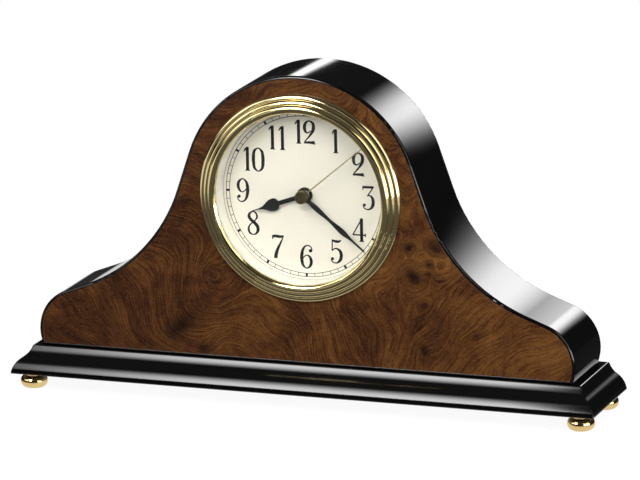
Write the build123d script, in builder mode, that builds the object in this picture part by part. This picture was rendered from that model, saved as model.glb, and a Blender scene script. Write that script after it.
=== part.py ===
from build123d import *
import os
from math import acos, asin, atan2, cos, degrees, hypot, pi, radians, sin, sqrt, tan

os.makedirs("parts", exist_ok=True)

# A tambour mantel clock with a quartz movement.
# Origin: centre of the footprint on the surface the clock stands on.
# X runs to the right, Y to the back, Z up.

# Tambour case, all in millimetres
BODY_WIDTH = 260.0
BODY_DEPTH = 40.8
ARCH_RADIUS = 56.8
ARCH_RISE = 78.0
HOLLOW_RADIUS = 79.0
SHOULDER_RADIUS = 20.1
SHOULDER_RISE = 7.6
FLANK_RUN = 19.4
TOE_RUN = 11.0
EDGE_ROUND = 1.2
VENEER_THICKNESS = 0.6
VENEER_MARGIN = 1.3
INLAY_GAP = 0.05

# Plinth and its moulding
PLINTH_HEIGHT = 12.6
SIDE_LEDGE = 3.0
FRONT_LEDGE = 1.0
BACK_LEDGE = 2.1
MOULDING_REACH = 8.3
COVE_REACH = 3.8
COVE_DROP = 5.2
NOSE_BAND = 0.7
NOSE_LEAN = 10.0
LEDGE_ROUND = 0.9
TOE_ROUND = 0.5

# Bun feet
FOOT_HEIGHT = 7.4
FOOT_RADIUS = 6.4
FOOT_SOLE_RADIUS = 4.2
FOOT_BELLY_HEIGHT = 3.0
FOOT_NECK_RADIUS = 4.0
FOOT_NECK_LENGTH = 1.6
FOOT_INSET = 8.3
REAR_FOOT_INSET = 7.0
FOOT_STUD_RADIUS = 2.0
FOOT_STUD_LENGTH = 8.0

# Wood screws between plinth and case
WOOD_SCREW_SPACING = 170.0
WOOD_SCREW_RADIUS = 1.8
WOOD_SCREW_HEAD_RADIUS = 3.6
WOOD_SCREW_HEAD_HEIGHT = 2.2
WOOD_SCREW_GRIP = 16.0
WOOD_SCREW_SINK = 1.0

# Cross recess of a screw, as shares of its head's radius and height
RECESS_REACH = 1.25
RECESS_WIDTH = 0.28
RECESS_DEPTH = 0.5

# Clock insert: bezel, glass, dial and cup
DIAL_OPENING_RADIUS = 40.0
DIAL_RING_WALL = 2.7
DIAL_RING_DRAFT = 0.3
DIAL_SETBACK = 7.57
DIAL_THICKNESS = 0.6
GLASS_THICKNESS = 1.4
GLASS_CHAMFER = 0.2
GASKET_THICKNESS = 0.5
GASKET_WIDTH = 1.2
BEZEL_OVERLAP = 4.45
BEZEL_EDGE_RISE = 0.4
BEZEL_CREST_RISE = 4.3
BEZEL_REEDS = 3
REED_SAG_RATIO = 0.2
BEZEL_CREST_RADIUS = 41.7
LIP_RADIUS = 39.9
LIP_RISE = 3.0
LIP_LAND = 0.5
LIP_ROLL_SAG = 0.35
SKIRT_WALL = 0.8
SKIRT_OVERLAP = 2.6
BORE_GAP = 0.4
CUP_FLOOR = 1.2
CUP_WALL = 0.8
CUP_TAIL = 4.0
GRIP_WIDTH = 6.0
GRIP_SETBACK = 1.0

# Quartz movement, depths counted from the movement's front face
CASE_WALL = 1.5
CASE_CORNER = 4.0
MOVEMENT_TOP = 28.0
MOVEMENT_THICKNESS = 16.0
SPLIT_DEPTH = 5.0
TRAIN_FLOOR = 10.9
PARTITION = 1.0
PLATE_THICKNESS = 1.0
PLATE_DEPTH = 4.8
CASE_POST_RADIUS = 2.2
CASE_POST_INSET = 4.2
CASE_SCREW_RADIUS = 0.8
CASE_SCREW_HEAD_RADIUS = 1.6
CASE_SCREW_HEAD_HEIGHT = 1.2
CASE_SCREW_STOP = 0.7
LUG_REACH = 7.0
LUG_WIDTH = 8.0
LUG_THICKNESS = 2.0
MOUNT_SCREW_RADIUS = 1.1
MOUNT_SCREW_HEAD_RADIUS = 2.2
MOUNT_SCREW_HEAD_HEIGHT = 1.4
MOUNT_BOSS_RADIUS = 3.0
MOUNT_SCREW_STOP = 0.4

# Battery of AA size
BATTERY_RADIUS = 7.1
BATTERY_LENGTH = 50.0
BATTERY_NUB_RADIUS = 2.75
BATTERY_NUB_LENGTH = 1.0
BATTERY_SIDE_GAP = 0.3
BATTERY_SHOULDER_ROUND = 0.6
CONTACT_SPACE = 1.5
CONTACT_THICKNESS = 0.4
CONTACT_WIDTH = 6.0
CONTACT_LENGTH = 11.0
CONTACT_BOW = 6.0

# Gear train
TRAIN_MODULE = 0.30
ROTOR_MODULE = 0.28
MOTION_MODULE = 0.40
PINION_LEAVES = 8
THIRD_TEETH = 60
CENTRE_TEETH = 64
SECONDS_TEETH = 40
INTERMEDIATE_TEETH = 48
CANNON_TEETH = 12
MINUTE_TEETH = 36
MINUTE_LEAVES = 10
HOUR_TEETH = 40
SET_TEETH = 12
PRESSURE_ANGLE = 28.0
TOOTH_SHARE = 0.44
ADDENDUM = 0.8
DEDENDUM = 1.1
THIRD_DIRECTION = 165.0
INTERMEDIATE_DIRECTION = 95.0
ROTOR_DIRECTION = 30.0
MINUTE_DIRECTION = -15.0
SET_DIRECTION = 40.0
RIM_GAP = 0.34
WHEEL_THICKNESS = 0.7
LEVEL_GAP = 0.4
ARBOR_RADIUS = 0.5
ROTOR_ARBOR_RADIUS = 0.4
SECONDS_ARBOR_RADIUS = 0.6
MINUTE_PIPE_RADIUS = 1.65
HOUR_PIPE_RADIUS = 2.5
PIPE_GAP = 0.07
BUSHING_WALL = 0.95
BUSHING_FLANGE = 1.1
BUSHING_FLANGE_THICKNESS = 0.4
BUSHING_PROUD = 0.2
MINUTE_POST_RADIUS = 0.8
PIVOT_GAP = 0.05
PRESS_GAP = 0.02
PIVOT_SINK = 0.7
PIVOT_END_GAP = 0.1
SCREW_GAP = 0.1

# Stepping motor and circuit
MAGNET_RADIUS = 2.2
MAGNET_LENGTH = 2.2
ROTOR_HOLE_GAP = 0.4
STATOR_DEPTH = 10.2
STATOR_THICKNESS = 1.0
STATOR_PAD_WALL = 1.3
STATOR_BAR = 3.0
STATOR_LEG = 3.5
STATOR_LEFT = -20.0
STATOR_RIGHT = 11.0
CORE_WIDTH = 3.0
COIL_RADIUS = 3.1
COIL_GAP = 0.4
BOBBIN_END_GAP = 1.0
BOBBIN_FLANGE = 1.0
BOBBIN_WALL = 0.5
BOBBIN_FIT = 0.05
PLATE_SCREW_RADIUS = 0.7
PLATE_SCREW_HEAD_RADIUS = 1.4
PLATE_SCREW_HEAD_HEIGHT = 0.8
PLATE_SCREW_GRIP = 2.4
PLATE_POST_RADIUS = 1.7
BOARD_LEFT = 13.0
BOARD_WIDTH = 8.4
BOARD_BOTTOM = 8.0
BOARD_HEIGHT = 16.8
BOARD_SCREW_INSET = 2.4
CRYSTAL_RADIUS = 1.0
CRYSTAL_LENGTH = 6.0
CHIP_RADIUS = 1.8
CHIP_HEIGHT = 1.0
CHIP_INSET = 0.9

# Setting knob
SET_SHAFT_RADIUS = 1.2
SET_PIVOT_RADIUS = 0.7
KNOB_RADIUS = 6.0
KNOB_HEIGHT = 3.5
KNOB_GAP = 0.4
KNOB_FLUTES = 18
KNOB_FLUTE_RADIUS = 0.55
KNOB_ROUND = 0.4

# Hands, angles clockwise from twelve
HOUR_ANGLE = 250.8
MINUTE_ANGLE = 129.5
SECONDS_ANGLE = 50.3
HAND_THICKNESS = 0.4
HOUR_HAND_LENGTH = 27.0
HOUR_HAND_LIFT = 1.0
HOUR_HUB_RADIUS = 3.6
HOUR_ARM_WIDTH = 2.0
HOUR_ARM_LENGTH = 13.3
HOUR_BULB_CENTRE = 15.8
HOUR_BULB_WIDTH = 5.8
HOUR_NECK_RADIUS = 21.0
HOUR_NECK_WIDTH = 1.8
HOUR_TIP_WIDTH = 0.5
MINUTE_HAND_LENGTH = 37.6
MINUTE_HAND_LIFT = 3.0
MINUTE_HUB_RADIUS = 3.0
MINUTE_ROOT_WIDTH = 1.7
MINUTE_BELLY_CENTRE = 8.8
MINUTE_BELLY_WIDTH = 2.4
MINUTE_WAIST_CENTRE = 16.9
MINUTE_WAIST_WIDTH = 1.4
MINUTE_LEAF_CENTRE = 24.8
MINUTE_LEAF_WIDTH = 2.5
MINUTE_NEEDLE_START = 31.0
MINUTE_NEEDLE_WIDTH = 0.9
MINUTE_TIP_WIDTH = 0.7
HAND_NUT_RADIUS = 2.7
HAND_NUT_HEIGHT = 0.7
SECONDS_HAND_LENGTH = 37.6
SECONDS_HAND_LIFT = 4.8
SECONDS_HAND_THICKNESS = 0.2
SECONDS_RING_RADIUS = 2.0
SECONDS_ROOT_WIDTH = 0.6
SECONDS_TIP_WIDTH = 0.4
SECONDS_TUBE_RADIUS = 1.0
SECONDS_TUBE_DROP = 0.4
SECONDS_FLANGE_RADIUS = 3.05
SECONDS_FLANGE_THICKNESS = 0.25
SECONDS_CAP_RADIUS = 2.85
SECONDS_CAP_HEIGHT = 1.45
SECONDS_CAP_ROUND = 0.15
CAP_BORE_SHARE = 0.75

SEATED = (Align.CENTER, Align.CENTER, Align.MIN)

# Levels of the case
PLINTH_BOTTOM = FOOT_HEIGHT
BODY_BOTTOM = PLINTH_BOTTOM + PLINTH_HEIGHT
AXIS_Z = BODY_BOTTOM + ARCH_RISE
BODY_FRONT = BODY_DEPTH / 2

# Reach of the plinth, and how far the case stands back of the footprint's centre
PLINTH_HALF_WIDTH = BODY_WIDTH / 2 + SIDE_LEDGE + MOULDING_REACH
PLINTH_FRONT = BODY_DEPTH / 2 + FRONT_LEDGE + MOULDING_REACH
PLINTH_BACK = BODY_DEPTH / 2 + BACK_LEDGE
CASE_SETBACK = (PLINTH_FRONT - PLINTH_BACK) / 2

# Radii of the insert, from the dial outwards
INSERT_RADIUS = DIAL_OPENING_RADIUS + DIAL_RING_WALL
SKIRT_BORE = INSERT_RADIUS + SCREW_GAP
SKIRT_RADIUS = SKIRT_BORE + SKIRT_WALL
CASE_BORE_RADIUS = SKIRT_RADIUS + BORE_GAP
BEZEL_RADIUS = CASE_BORE_RADIUS + BEZEL_OVERLAP

# Places along the hand axis, counted forward from the middle of the case
DIAL_FACE = BODY_FRONT - DIAL_SETBACK
DIAL_BACK = DIAL_FACE - DIAL_THICKNESS
MOVEMENT_FRONT = DIAL_BACK - CUP_FLOOR
GLASS_FRONT = BODY_FRONT + LIP_RISE - LIP_LAND
GLASS_BACK = GLASS_FRONT - GLASS_THICKNESS
SKIRT_END = DIAL_BACK - SKIRT_OVERLAP
CUP_END = MOVEMENT_FRONT - MOVEMENT_THICKNESS - CUP_TAIL

# Movement outline around the hand axis
BAY_LENGTH = BATTERY_LENGTH + 2 * CONTACT_SPACE
BAY_HEIGHT = 2 * (BATTERY_RADIUS + BATTERY_SIDE_GAP)
BAY_TOP = -TRAIN_FLOOR - PARTITION
BATTERY_DROP = BAY_TOP - BAY_HEIGHT / 2
MOVEMENT_WIDTH = BAY_LENGTH + 2 * CASE_WALL
MOVEMENT_BOTTOM = BAY_TOP - BAY_HEIGHT - CASE_WALL
MOVEMENT_HEIGHT = MOVEMENT_TOP - MOVEMENT_BOTTOM
MOVEMENT_MIDDLE = (MOVEMENT_TOP + MOVEMENT_BOTTOM) / 2
TRAIN_CEILING = MOVEMENT_TOP - CASE_WALL
TRAIN_HEIGHT = TRAIN_CEILING + TRAIN_FLOOR
TRAIN_MIDDLE = (TRAIN_CEILING - TRAIN_FLOOR) / 2
REAR_WALL_DEPTH = MOVEMENT_THICKNESS - CASE_WALL
PLATE_BACK = PLATE_DEPTH + PLATE_THICKNESS
BATTERY_DEPTH = CASE_WALL + BATTERY_SIDE_GAP + BATTERY_RADIUS

# Modules that follow from wheels sharing the hand axis
THIRD_DISTANCE = TRAIN_MODULE * (THIRD_TEETH + PINION_LEAVES) / 2
CENTRE_MODULE = 2 * THIRD_DISTANCE / (CENTRE_TEETH + PINION_LEAVES)
SECONDS_RIM = THIRD_DISTANCE - ARBOR_RADIUS - RIM_GAP
SECONDS_MODULE = SECONDS_RIM / (SECONDS_TEETH / 2 + ADDENDUM)
INTERMEDIATE_DISTANCE = SECONDS_MODULE * (SECONDS_TEETH + PINION_LEAVES) / 2
ROTOR_DISTANCE = ROTOR_MODULE * (INTERMEDIATE_TEETH + PINION_LEAVES) / 2
MINUTE_DISTANCE = MOTION_MODULE * (CANNON_TEETH + MINUTE_TEETH) / 2
HOUR_MODULE = 2 * MINUTE_DISTANCE / (MINUTE_LEAVES + HOUR_TEETH)
SET_DISTANCE = MOTION_MODULE * (MINUTE_TEETH + SET_TEETH) / 2


def polar_spot(start, distance, direction):
    """Point at a distance and a direction, in degrees, from a start point."""
    return (start[0] + distance * cos(radians(direction)), start[1] + distance * sin(radians(direction)))


# Arbor places across the movement, to the right and up from the hand axis
HAND_SPOT = (0.0, 0.0)
THIRD_SPOT = polar_spot(HAND_SPOT, THIRD_DISTANCE, THIRD_DIRECTION)
INTERMEDIATE_SPOT = polar_spot(HAND_SPOT, INTERMEDIATE_DISTANCE, INTERMEDIATE_DIRECTION)
ROTOR_SPOT = polar_spot(INTERMEDIATE_SPOT, ROTOR_DISTANCE, ROTOR_DIRECTION)
MINUTE_SPOT = polar_spot(HAND_SPOT, MINUTE_DISTANCE, MINUTE_DIRECTION)
SET_SPOT = polar_spot(MINUTE_SPOT, SET_DISTANCE, SET_DIRECTION)

# Wheel levels, counted as depths from the movement's front
HOUR_LEVEL = CASE_WALL + BUSHING_FLANGE_THICKNESS + PIVOT_END_GAP
MINUTE_LEVEL = HOUR_LEVEL + WHEEL_THICKNESS + LEVEL_GAP
CENTRE_LEVEL = PLATE_BACK + LEVEL_GAP
THIRD_LEVEL = CENTRE_LEVEL + WHEEL_THICKNESS + LEVEL_GAP
SECONDS_LEVEL = THIRD_LEVEL + WHEEL_THICKNESS + LEVEL_GAP
MAGNET_LEVEL = STATOR_DEPTH + STATOR_THICKNESS / 2 - MAGNET_LENGTH / 2
INTERMEDIATE_LEVEL = MAGNET_LEVEL + MAGNET_LENGTH + 2 * LEVEL_GAP
PIVOT_END = REAR_WALL_DEPTH + PIVOT_SINK

# Depths of the hands, in front of the movement and so negative
DIAL_DEPTH = MOVEMENT_FRONT - DIAL_FACE
HOUR_HAND_DEPTH = DIAL_DEPTH - HOUR_HAND_LIFT
MINUTE_HAND_DEPTH = DIAL_DEPTH - MINUTE_HAND_LIFT
SECONDS_HAND_DEPTH = DIAL_DEPTH - SECONDS_HAND_LIFT
FLANGE_DEPTH = SECONDS_HAND_DEPTH - SECONDS_HAND_THICKNESS
CAP_DEPTH = FLANGE_DEPTH - SECONDS_FLANGE_THICKNESS
CAP_BORE_DEPTH = CAP_DEPTH - CAP_BORE_SHARE * SECONDS_CAP_HEIGHT
HOUR_PIPE_BORE = MINUTE_PIPE_RADIUS + PIPE_GAP
MINUTE_PIPE_BORE = SECONDS_ARBOR_RADIUS + PIPE_GAP

# Coil and screw places across the movement
STATOR_PAD_RADIUS = MAGNET_RADIUS + ROTOR_HOLE_GAP + STATOR_PAD_WALL
COIL_RISE = ROTOR_SPOT[1] + STATOR_PAD_RADIUS + COIL_GAP + COIL_RADIUS
CORE_DEPTH = STATOR_DEPTH - STATOR_THICKNESS
BOBBIN_LEFT = STATOR_LEFT + STATOR_LEG + BOBBIN_END_GAP
BOBBIN_LENGTH = STATOR_RIGHT - STATOR_LEG - BOBBIN_END_GAP - BOBBIN_LEFT
CORE_SCREW_SPOTS = [(STATOR_LEFT + STATOR_LEG / 2, COIL_RISE), (STATOR_RIGHT - STATOR_LEG / 2, COIL_RISE)]
BOARD_MIDDLE = BOARD_LEFT + BOARD_WIDTH / 2
BOARD_SCREW_SPOTS = [
    (BOARD_MIDDLE, BOARD_BOTTOM + BOARD_SCREW_INSET),
    (BOARD_MIDDLE, BOARD_BOTTOM + BOARD_HEIGHT - BOARD_SCREW_INSET),
]
POST_X = MOVEMENT_WIDTH / 2 - CASE_POST_INSET
POST_TOP = MOVEMENT_TOP - CASE_POST_INSET
POST_BOTTOM = CASE_POST_RADIUS - TRAIN_FLOOR
CASE_SCREW_SPOTS = [(-POST_X, POST_BOTTOM), (POST_X, POST_BOTTOM), (-POST_X, POST_TOP), (POST_X, POST_TOP)]
LUG_MIDDLE = MOVEMENT_WIDTH / 2 + LUG_REACH - LUG_WIDTH / 2
MOUNT_SCREW_SPOTS = [(-LUG_MIDDLE, 0.0), (LUG_MIDDLE, 0.0)]
LUG_DEPTH = SPLIT_DEPTH - LUG_THICKNESS


def face_plane(forward, across=0.0, height=AXIS_Z):
    """Plane that faces the front, a distance forward of the middle of the case."""
    return Plane(origin=(across, -forward, height), x_dir=(1, 0, 0), z_dir=(0, -1, 0))


def depth_plane(depth, spot=HAND_SPOT):
    """Plane that faces the front, at a depth behind the movement's front and centred on a spot."""
    return face_plane(MOVEMENT_FRONT - depth, spot[0], AXIS_Z + spot[1])


def hand_plane(depth, angle):
    """Plane that faces the front and whose second axis points along a hand."""
    turn = radians(angle)
    return Plane(origin=depth_plane(depth).origin, x_dir=(cos(turn), 0, -sin(turn)), z_dir=(0, -1, 0))


# Half sections of turned pieces are drawn as radius and forward place, and turned about the hand axis
TURN_PLANE = Plane(origin=(0, 0, AXIS_Z), x_dir=(0, 0, 1), z_dir=(1, 0, 0))
TURN_AXIS = Axis((0, 0, AXIS_Z), (0, 1, 0))


def keep(piece, name):
    """Set a finished piece back to its place over the footprint, label it and write its file."""
    placed = piece.moved(Location((0, CASE_SETBACK, 0)))
    placed.label = name
    export_step(placed, f"parts/{name}.step")


def tooth_half_angle(teeth, module, radius):
    """Half of a tooth's angular width, in radians, at a radius on its involute flank."""
    base_radius = module * teeth / 2 * cos(radians(PRESSURE_ANGLE))
    slope = acos(min(1.0, base_radius / radius))
    pitch_slope = radians(PRESSURE_ANGLE)
    pitch_half = pi * TOOTH_SHARE / teeth
    return pitch_half + tan(pitch_slope) - pitch_slope - tan(slope) + slope


def gear_face(plane, teeth, module, phase):
    """Gear outline with stub teeth and flat flanks, one tooth centred at the phase angle in degrees."""
    pitch_radius = module * teeth / 2
    tip = pitch_radius + ADDENDUM * module
    root = pitch_radius - DEDENDUM * module
    flank = [(radius, tooth_half_angle(teeth, module, radius)) for radius in (root, pitch_radius, tip)]
    corners = [(radius, -half) for radius, half in flank]
    corners += [(radius, half) for radius, half in reversed(flank)]
    points = []
    for tooth in range(teeth):
        middle = radians(phase) + 2 * pi * tooth / teeth
        points += [(radius * cos(middle + turn), radius * sin(middle + turn)) for radius, turn in corners]
    with BuildSketch(plane) as gear:
        with BuildLine():
            Polyline(*points, close=True)
        make_face()
    return gear.sketch


def meshing_phase(direction, teeth, mate_teeth, mate_phase):
    """Phase of a gear whose gap takes a placed mate's tooth; the direction runs from mate to gear."""
    lead = ((mate_phase - direction) * mate_teeth / 360) % 1
    return direction + 180 + (0.5 - lead) * 360 / teeth


# Gear phases, each set from a mate on the hand axis or on the arbor before it
SECONDS_PHASE = 0.0
CENTRE_PHASE = 0.0
CANNON_PHASE = 0.0
HOUR_PHASE = 0.0
THIRD_PHASE = meshing_phase(THIRD_DIRECTION, THIRD_TEETH, PINION_LEAVES, SECONDS_PHASE)
THIRD_LEAF_PHASE = meshing_phase(THIRD_DIRECTION, PINION_LEAVES, CENTRE_TEETH, CENTRE_PHASE)
INTERMEDIATE_LEAF_PHASE = meshing_phase(INTERMEDIATE_DIRECTION, PINION_LEAVES, SECONDS_TEETH, SECONDS_PHASE)
INTERMEDIATE_PHASE = 0.0
ROTOR_PHASE = meshing_phase(ROTOR_DIRECTION, PINION_LEAVES, INTERMEDIATE_TEETH, INTERMEDIATE_PHASE)
MINUTE_PHASE = meshing_phase(MINUTE_DIRECTION, MINUTE_TEETH, CANNON_TEETH, CANNON_PHASE)
MINUTE_LEAF_PHASE = meshing_phase(MINUTE_DIRECTION, MINUTE_LEAVES, HOUR_TEETH, HOUR_PHASE)
SET_PHASE = meshing_phase(SET_DIRECTION, SET_TEETH, MINUTE_TEETH, MINUTE_PHASE)


# Outline of the tambour: arch, hollow flank and shoulder joined by straight runs
SHOULDER_CENTRE = (BODY_WIDTH / 2 - SHOULDER_RADIUS, SHOULDER_RISE)
ARCH_CENTRE = (0.0, ARCH_RISE)
ARCH_TO_HOLLOW = hypot(ARCH_RADIUS + HOLLOW_RADIUS, FLANK_RUN)
SHOULDER_TO_HOLLOW = hypot(SHOULDER_RADIUS + HOLLOW_RADIUS, TOE_RUN)


def hollow_centre():
    """Centre of the hollow flank, at its distances from the arch's and the shoulder's centres."""
    run = SHOULDER_CENTRE[0] - ARCH_CENTRE[0]
    rise = SHOULDER_CENTRE[1] - ARCH_CENTRE[1]
    span = hypot(run, rise)
    along = (ARCH_TO_HOLLOW**2 - SHOULDER_TO_HOLLOW**2 + span**2) / (2 * span)
    aside = sqrt(ARCH_TO_HOLLOW**2 - along**2)
    return (
        ARCH_CENTRE[0] + (along * run - aside * rise) / span,
        ARCH_CENTRE[1] + (along * rise + aside * run) / span,
    )


HOLLOW_CENTRE = hollow_centre()


def bearing(start, end):
    """Direction in degrees from one point to another."""
    return degrees(atan2(end[1] - start[1], end[0] - start[0]))


FLANK_LEAN = degrees(atan2(FLANK_RUN, ARCH_RADIUS + HOLLOW_RADIUS))
TOE_LEAN = degrees(atan2(TOE_RUN, SHOULDER_RADIUS + HOLLOW_RADIUS))
FLANK_ANGLE = bearing(ARCH_CENTRE, HOLLOW_CENTRE) + FLANK_LEAN
TOE_ANGLE = bearing(SHOULDER_CENTRE, HOLLOW_CENTRE) - TOE_LEAN
TUCK_ANGLE = -degrees(asin(SHOULDER_RISE / SHOULDER_RADIUS))


def tambour_outline(plane, inset):
    """Outline of the case on a plane, drawn in by an inset."""
    with BuildSketch(plane) as outline:
        with BuildLine():
            shoulder = CenterArc(SHOULDER_CENTRE, SHOULDER_RADIUS, TUCK_ANGLE, TOE_ANGLE - TUCK_ANGLE)
            hollow = CenterArc(HOLLOW_CENTRE, HOLLOW_RADIUS, TOE_ANGLE + 180, FLANK_ANGLE - TOE_ANGLE)
            arch = CenterArc(ARCH_CENTRE, ARCH_RADIUS, FLANK_ANGLE, 90 - FLANK_ANGLE)
            Line((0, 0), shoulder @ 0)
            Line(shoulder @ 1, hollow @ 0)
            Line(hollow @ 1, arch @ 0)
            mirror(about=Plane.YZ)
        make_face()
        if inset:
            offset(amount=-inset)
    return outline.sketch


def ring(plane, outer, inner, length):
    """Square-edged ring that stands forward of a plane."""
    with BuildPart() as band:
        with BuildSketch(plane):
            Circle(outer)
            Circle(inner, mode=Mode.SUBTRACT)
        extrude(amount=length)
    return band.part


def headed_screw(plane, radius, length, head_radius, head_height):
    """Screw with a cross recess, its head behind a plane and its shank running forward of it."""
    head_plane = plane.offset(-head_height)
    reach = RECESS_REACH * head_radius
    width = RECESS_WIDTH * head_radius
    with BuildPart() as screw:
        with Locations(plane):
            Cylinder(radius, length, align=SEATED)
        with Locations(head_plane):
            Cylinder(head_radius, head_height, align=SEATED)
        with BuildSketch(head_plane):
            Rectangle(reach, width)
            Rectangle(width, reach)
        extrude(amount=RECESS_DEPTH * head_height, mode=Mode.SUBTRACT)
    return screw.part


# Case body: tambour block with the insert's bore, a shallow bed for the veneer and screw holes
with BuildPart() as case_body:
    extrude(tambour_outline(face_plane(-BODY_FRONT, height=BODY_BOTTOM), 0), amount=BODY_DEPTH)
    front_and_back = case_body.faces().filter_by(Axis.Y)
    fillet(front_and_back.edges(), radius=EDGE_ROUND)
    bed_plane = face_plane(BODY_FRONT - VENEER_THICKNESS, height=BODY_BOTTOM)
    extrude(tambour_outline(bed_plane, VENEER_MARGIN), amount=VENEER_THICKNESS, mode=Mode.SUBTRACT)
    with BuildSketch(face_plane(-BODY_FRONT)):
        Circle(CASE_BORE_RADIUS)
    extrude(amount=BODY_DEPTH, mode=Mode.SUBTRACT)
    with BuildSketch(Plane.XY.offset(BODY_BOTTOM)):
        with GridLocations(WOOD_SCREW_SPACING, 0, 2, 1):
            Circle(WOOD_SCREW_RADIUS + PRESS_GAP)
    extrude(amount=WOOD_SCREW_GRIP + PIVOT_END_GAP, mode=Mode.SUBTRACT)
keep(case_body.part, "case_body")

with BuildPart() as front_veneer:
    extrude(tambour_outline(bed_plane, VENEER_MARGIN + INLAY_GAP), amount=VENEER_THICKNESS)
    with BuildSketch(face_plane(BODY_FRONT - VENEER_THICKNESS)):
        Circle(CASE_BORE_RADIUS)
    extrude(amount=VENEER_THICKNESS, mode=Mode.SUBTRACT)
keep(front_veneer.part, "front_veneer")


def moulding_outline(plane, half_flat):
    """Section of the plinth across a plane: flat top, hollow, round nose and a narrow upright band."""
    edge = (half_flat, PLINTH_HEIGHT)
    turn = (half_flat + COVE_REACH, PLINTH_HEIGHT - COVE_DROP)
    nose_end = (half_flat + MOULDING_REACH, NOSE_BAND)
    toe = (half_flat + MOULDING_REACH, 0)
    nose_rise = (-sin(radians(NOSE_LEAN)), cos(radians(NOSE_LEAN)))
    with BuildSketch(plane) as section:
        with BuildLine():
            Line((0, 0), toe)
            Line(toe, nose_end)
            nose = TangentArc(nose_end, turn, tangent=nose_rise)
            TangentArc(turn, edge, tangent=nose % 1)
            Line(edge, (0, PLINTH_HEIGHT))
            mirror(about=Plane.YZ)
        make_face()
    return section.sketch


# Plinth: the same moulding on the front and both ends, mitred at the corners, and a flat back
TOP_DEPTH = BODY_DEPTH + FRONT_LEDGE + BACK_LEDGE
TOP_MIDDLE = (BACK_LEDGE - FRONT_LEDGE) / 2
FOOT_X = PLINTH_HALF_WIDTH - FOOT_INSET
FOOT_SPOTS = [
    (side * FOOT_X, foot_y)
    for side in (-1, 1)
    for foot_y in (FOOT_INSET - PLINTH_FRONT, PLINTH_BACK - REAR_FOOT_INSET)
]
with BuildPart() as plinth:
    long_section = moulding_outline(Plane.XZ.offset(-PLINTH_FRONT), BODY_WIDTH / 2 + SIDE_LEDGE)
    extrude(long_section, amount=2 * PLINTH_FRONT)
    end_plane = Plane(origin=(-PLINTH_HALF_WIDTH, TOP_MIDDLE, 0), x_dir=(0, 1, 0), z_dir=(1, 0, 0))
    extrude(moulding_outline(end_plane, TOP_DEPTH / 2), amount=2 * PLINTH_HALF_WIDTH, mode=Mode.INTERSECT)
    split(bisect_by=Plane.XZ.offset(-PLINTH_BACK), keep=Keep.TOP)
    fillet(plinth.faces().sort_by(Axis.Z)[-1].edges(), radius=LEDGE_ROUND)
    fillet(plinth.faces().sort_by(Axis.Z)[0].edges(), radius=TOE_ROUND)
    with BuildSketch(Plane.XY):
        with Locations(FOOT_SPOTS):
            Circle(FOOT_STUD_RADIUS + PRESS_GAP)
    extrude(amount=FOOT_STUD_LENGTH + PIVOT_END_GAP, mode=Mode.SUBTRACT)
    with Locations(Plane(origin=(0, 0, 0), z_dir=(0, 0, -1))):
        with GridLocations(WOOD_SCREW_SPACING, 0, 2, 1):
            CounterBoreHole(
                WOOD_SCREW_RADIUS + SCREW_GAP,
                WOOD_SCREW_HEAD_RADIUS + SCREW_GAP,
                WOOD_SCREW_SINK + WOOD_SCREW_HEAD_HEIGHT,
                depth=PLINTH_HEIGHT,
            )
plinth_piece = plinth.part.moved(Location((0, 0, PLINTH_BOTTOM)))
keep(plinth_piece, "plinth")

# Bun foot: flat sole, round belly, neck and screw stud in one turned piece
with BuildPart() as foot:
    with BuildSketch(Plane.XZ):
        with BuildLine():
            neck_foot = (FOOT_NECK_RADIUS, FOOT_HEIGHT - FOOT_NECK_LENGTH)
            belly = (FOOT_RADIUS, FOOT_BELLY_HEIGHT)
            Line((0, 0), (FOOT_SOLE_RADIUS, 0))
            TangentArc(belly, (FOOT_SOLE_RADIUS, 0), tangent=(0, -1))
            TangentArc(belly, neck_foot, tangent=(0, 1))
            Polyline(
                neck_foot,
                (FOOT_NECK_RADIUS, FOOT_HEIGHT),
                (FOOT_STUD_RADIUS, FOOT_HEIGHT),
                (FOOT_STUD_RADIUS, FOOT_HEIGHT + FOOT_STUD_LENGTH),
                (0, FOOT_HEIGHT + FOOT_STUD_LENGTH),
                (0, 0),
            )
        make_face()
    revolve(axis=Axis.Z)
with BuildPart() as feet:
    with Locations(FOOT_SPOTS):
        add(foot.part)
keep(feet.part, "feet")

head_seat = PLINTH_BOTTOM + WOOD_SCREW_SINK + WOOD_SCREW_HEAD_HEIGHT
wood_screw = headed_screw(
    Plane.XY.offset(head_seat),
    WOOD_SCREW_RADIUS,
    BODY_BOTTOM + WOOD_SCREW_GRIP - head_seat,
    WOOD_SCREW_HEAD_RADIUS,
    WOOD_SCREW_HEAD_HEIGHT,
)
with BuildPart() as plinth_screws:
    with GridLocations(WOOD_SCREW_SPACING, 0, 2, 1):
        add(wood_screw)
keep(plinth_screws.part, "plinth_screws")

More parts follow.
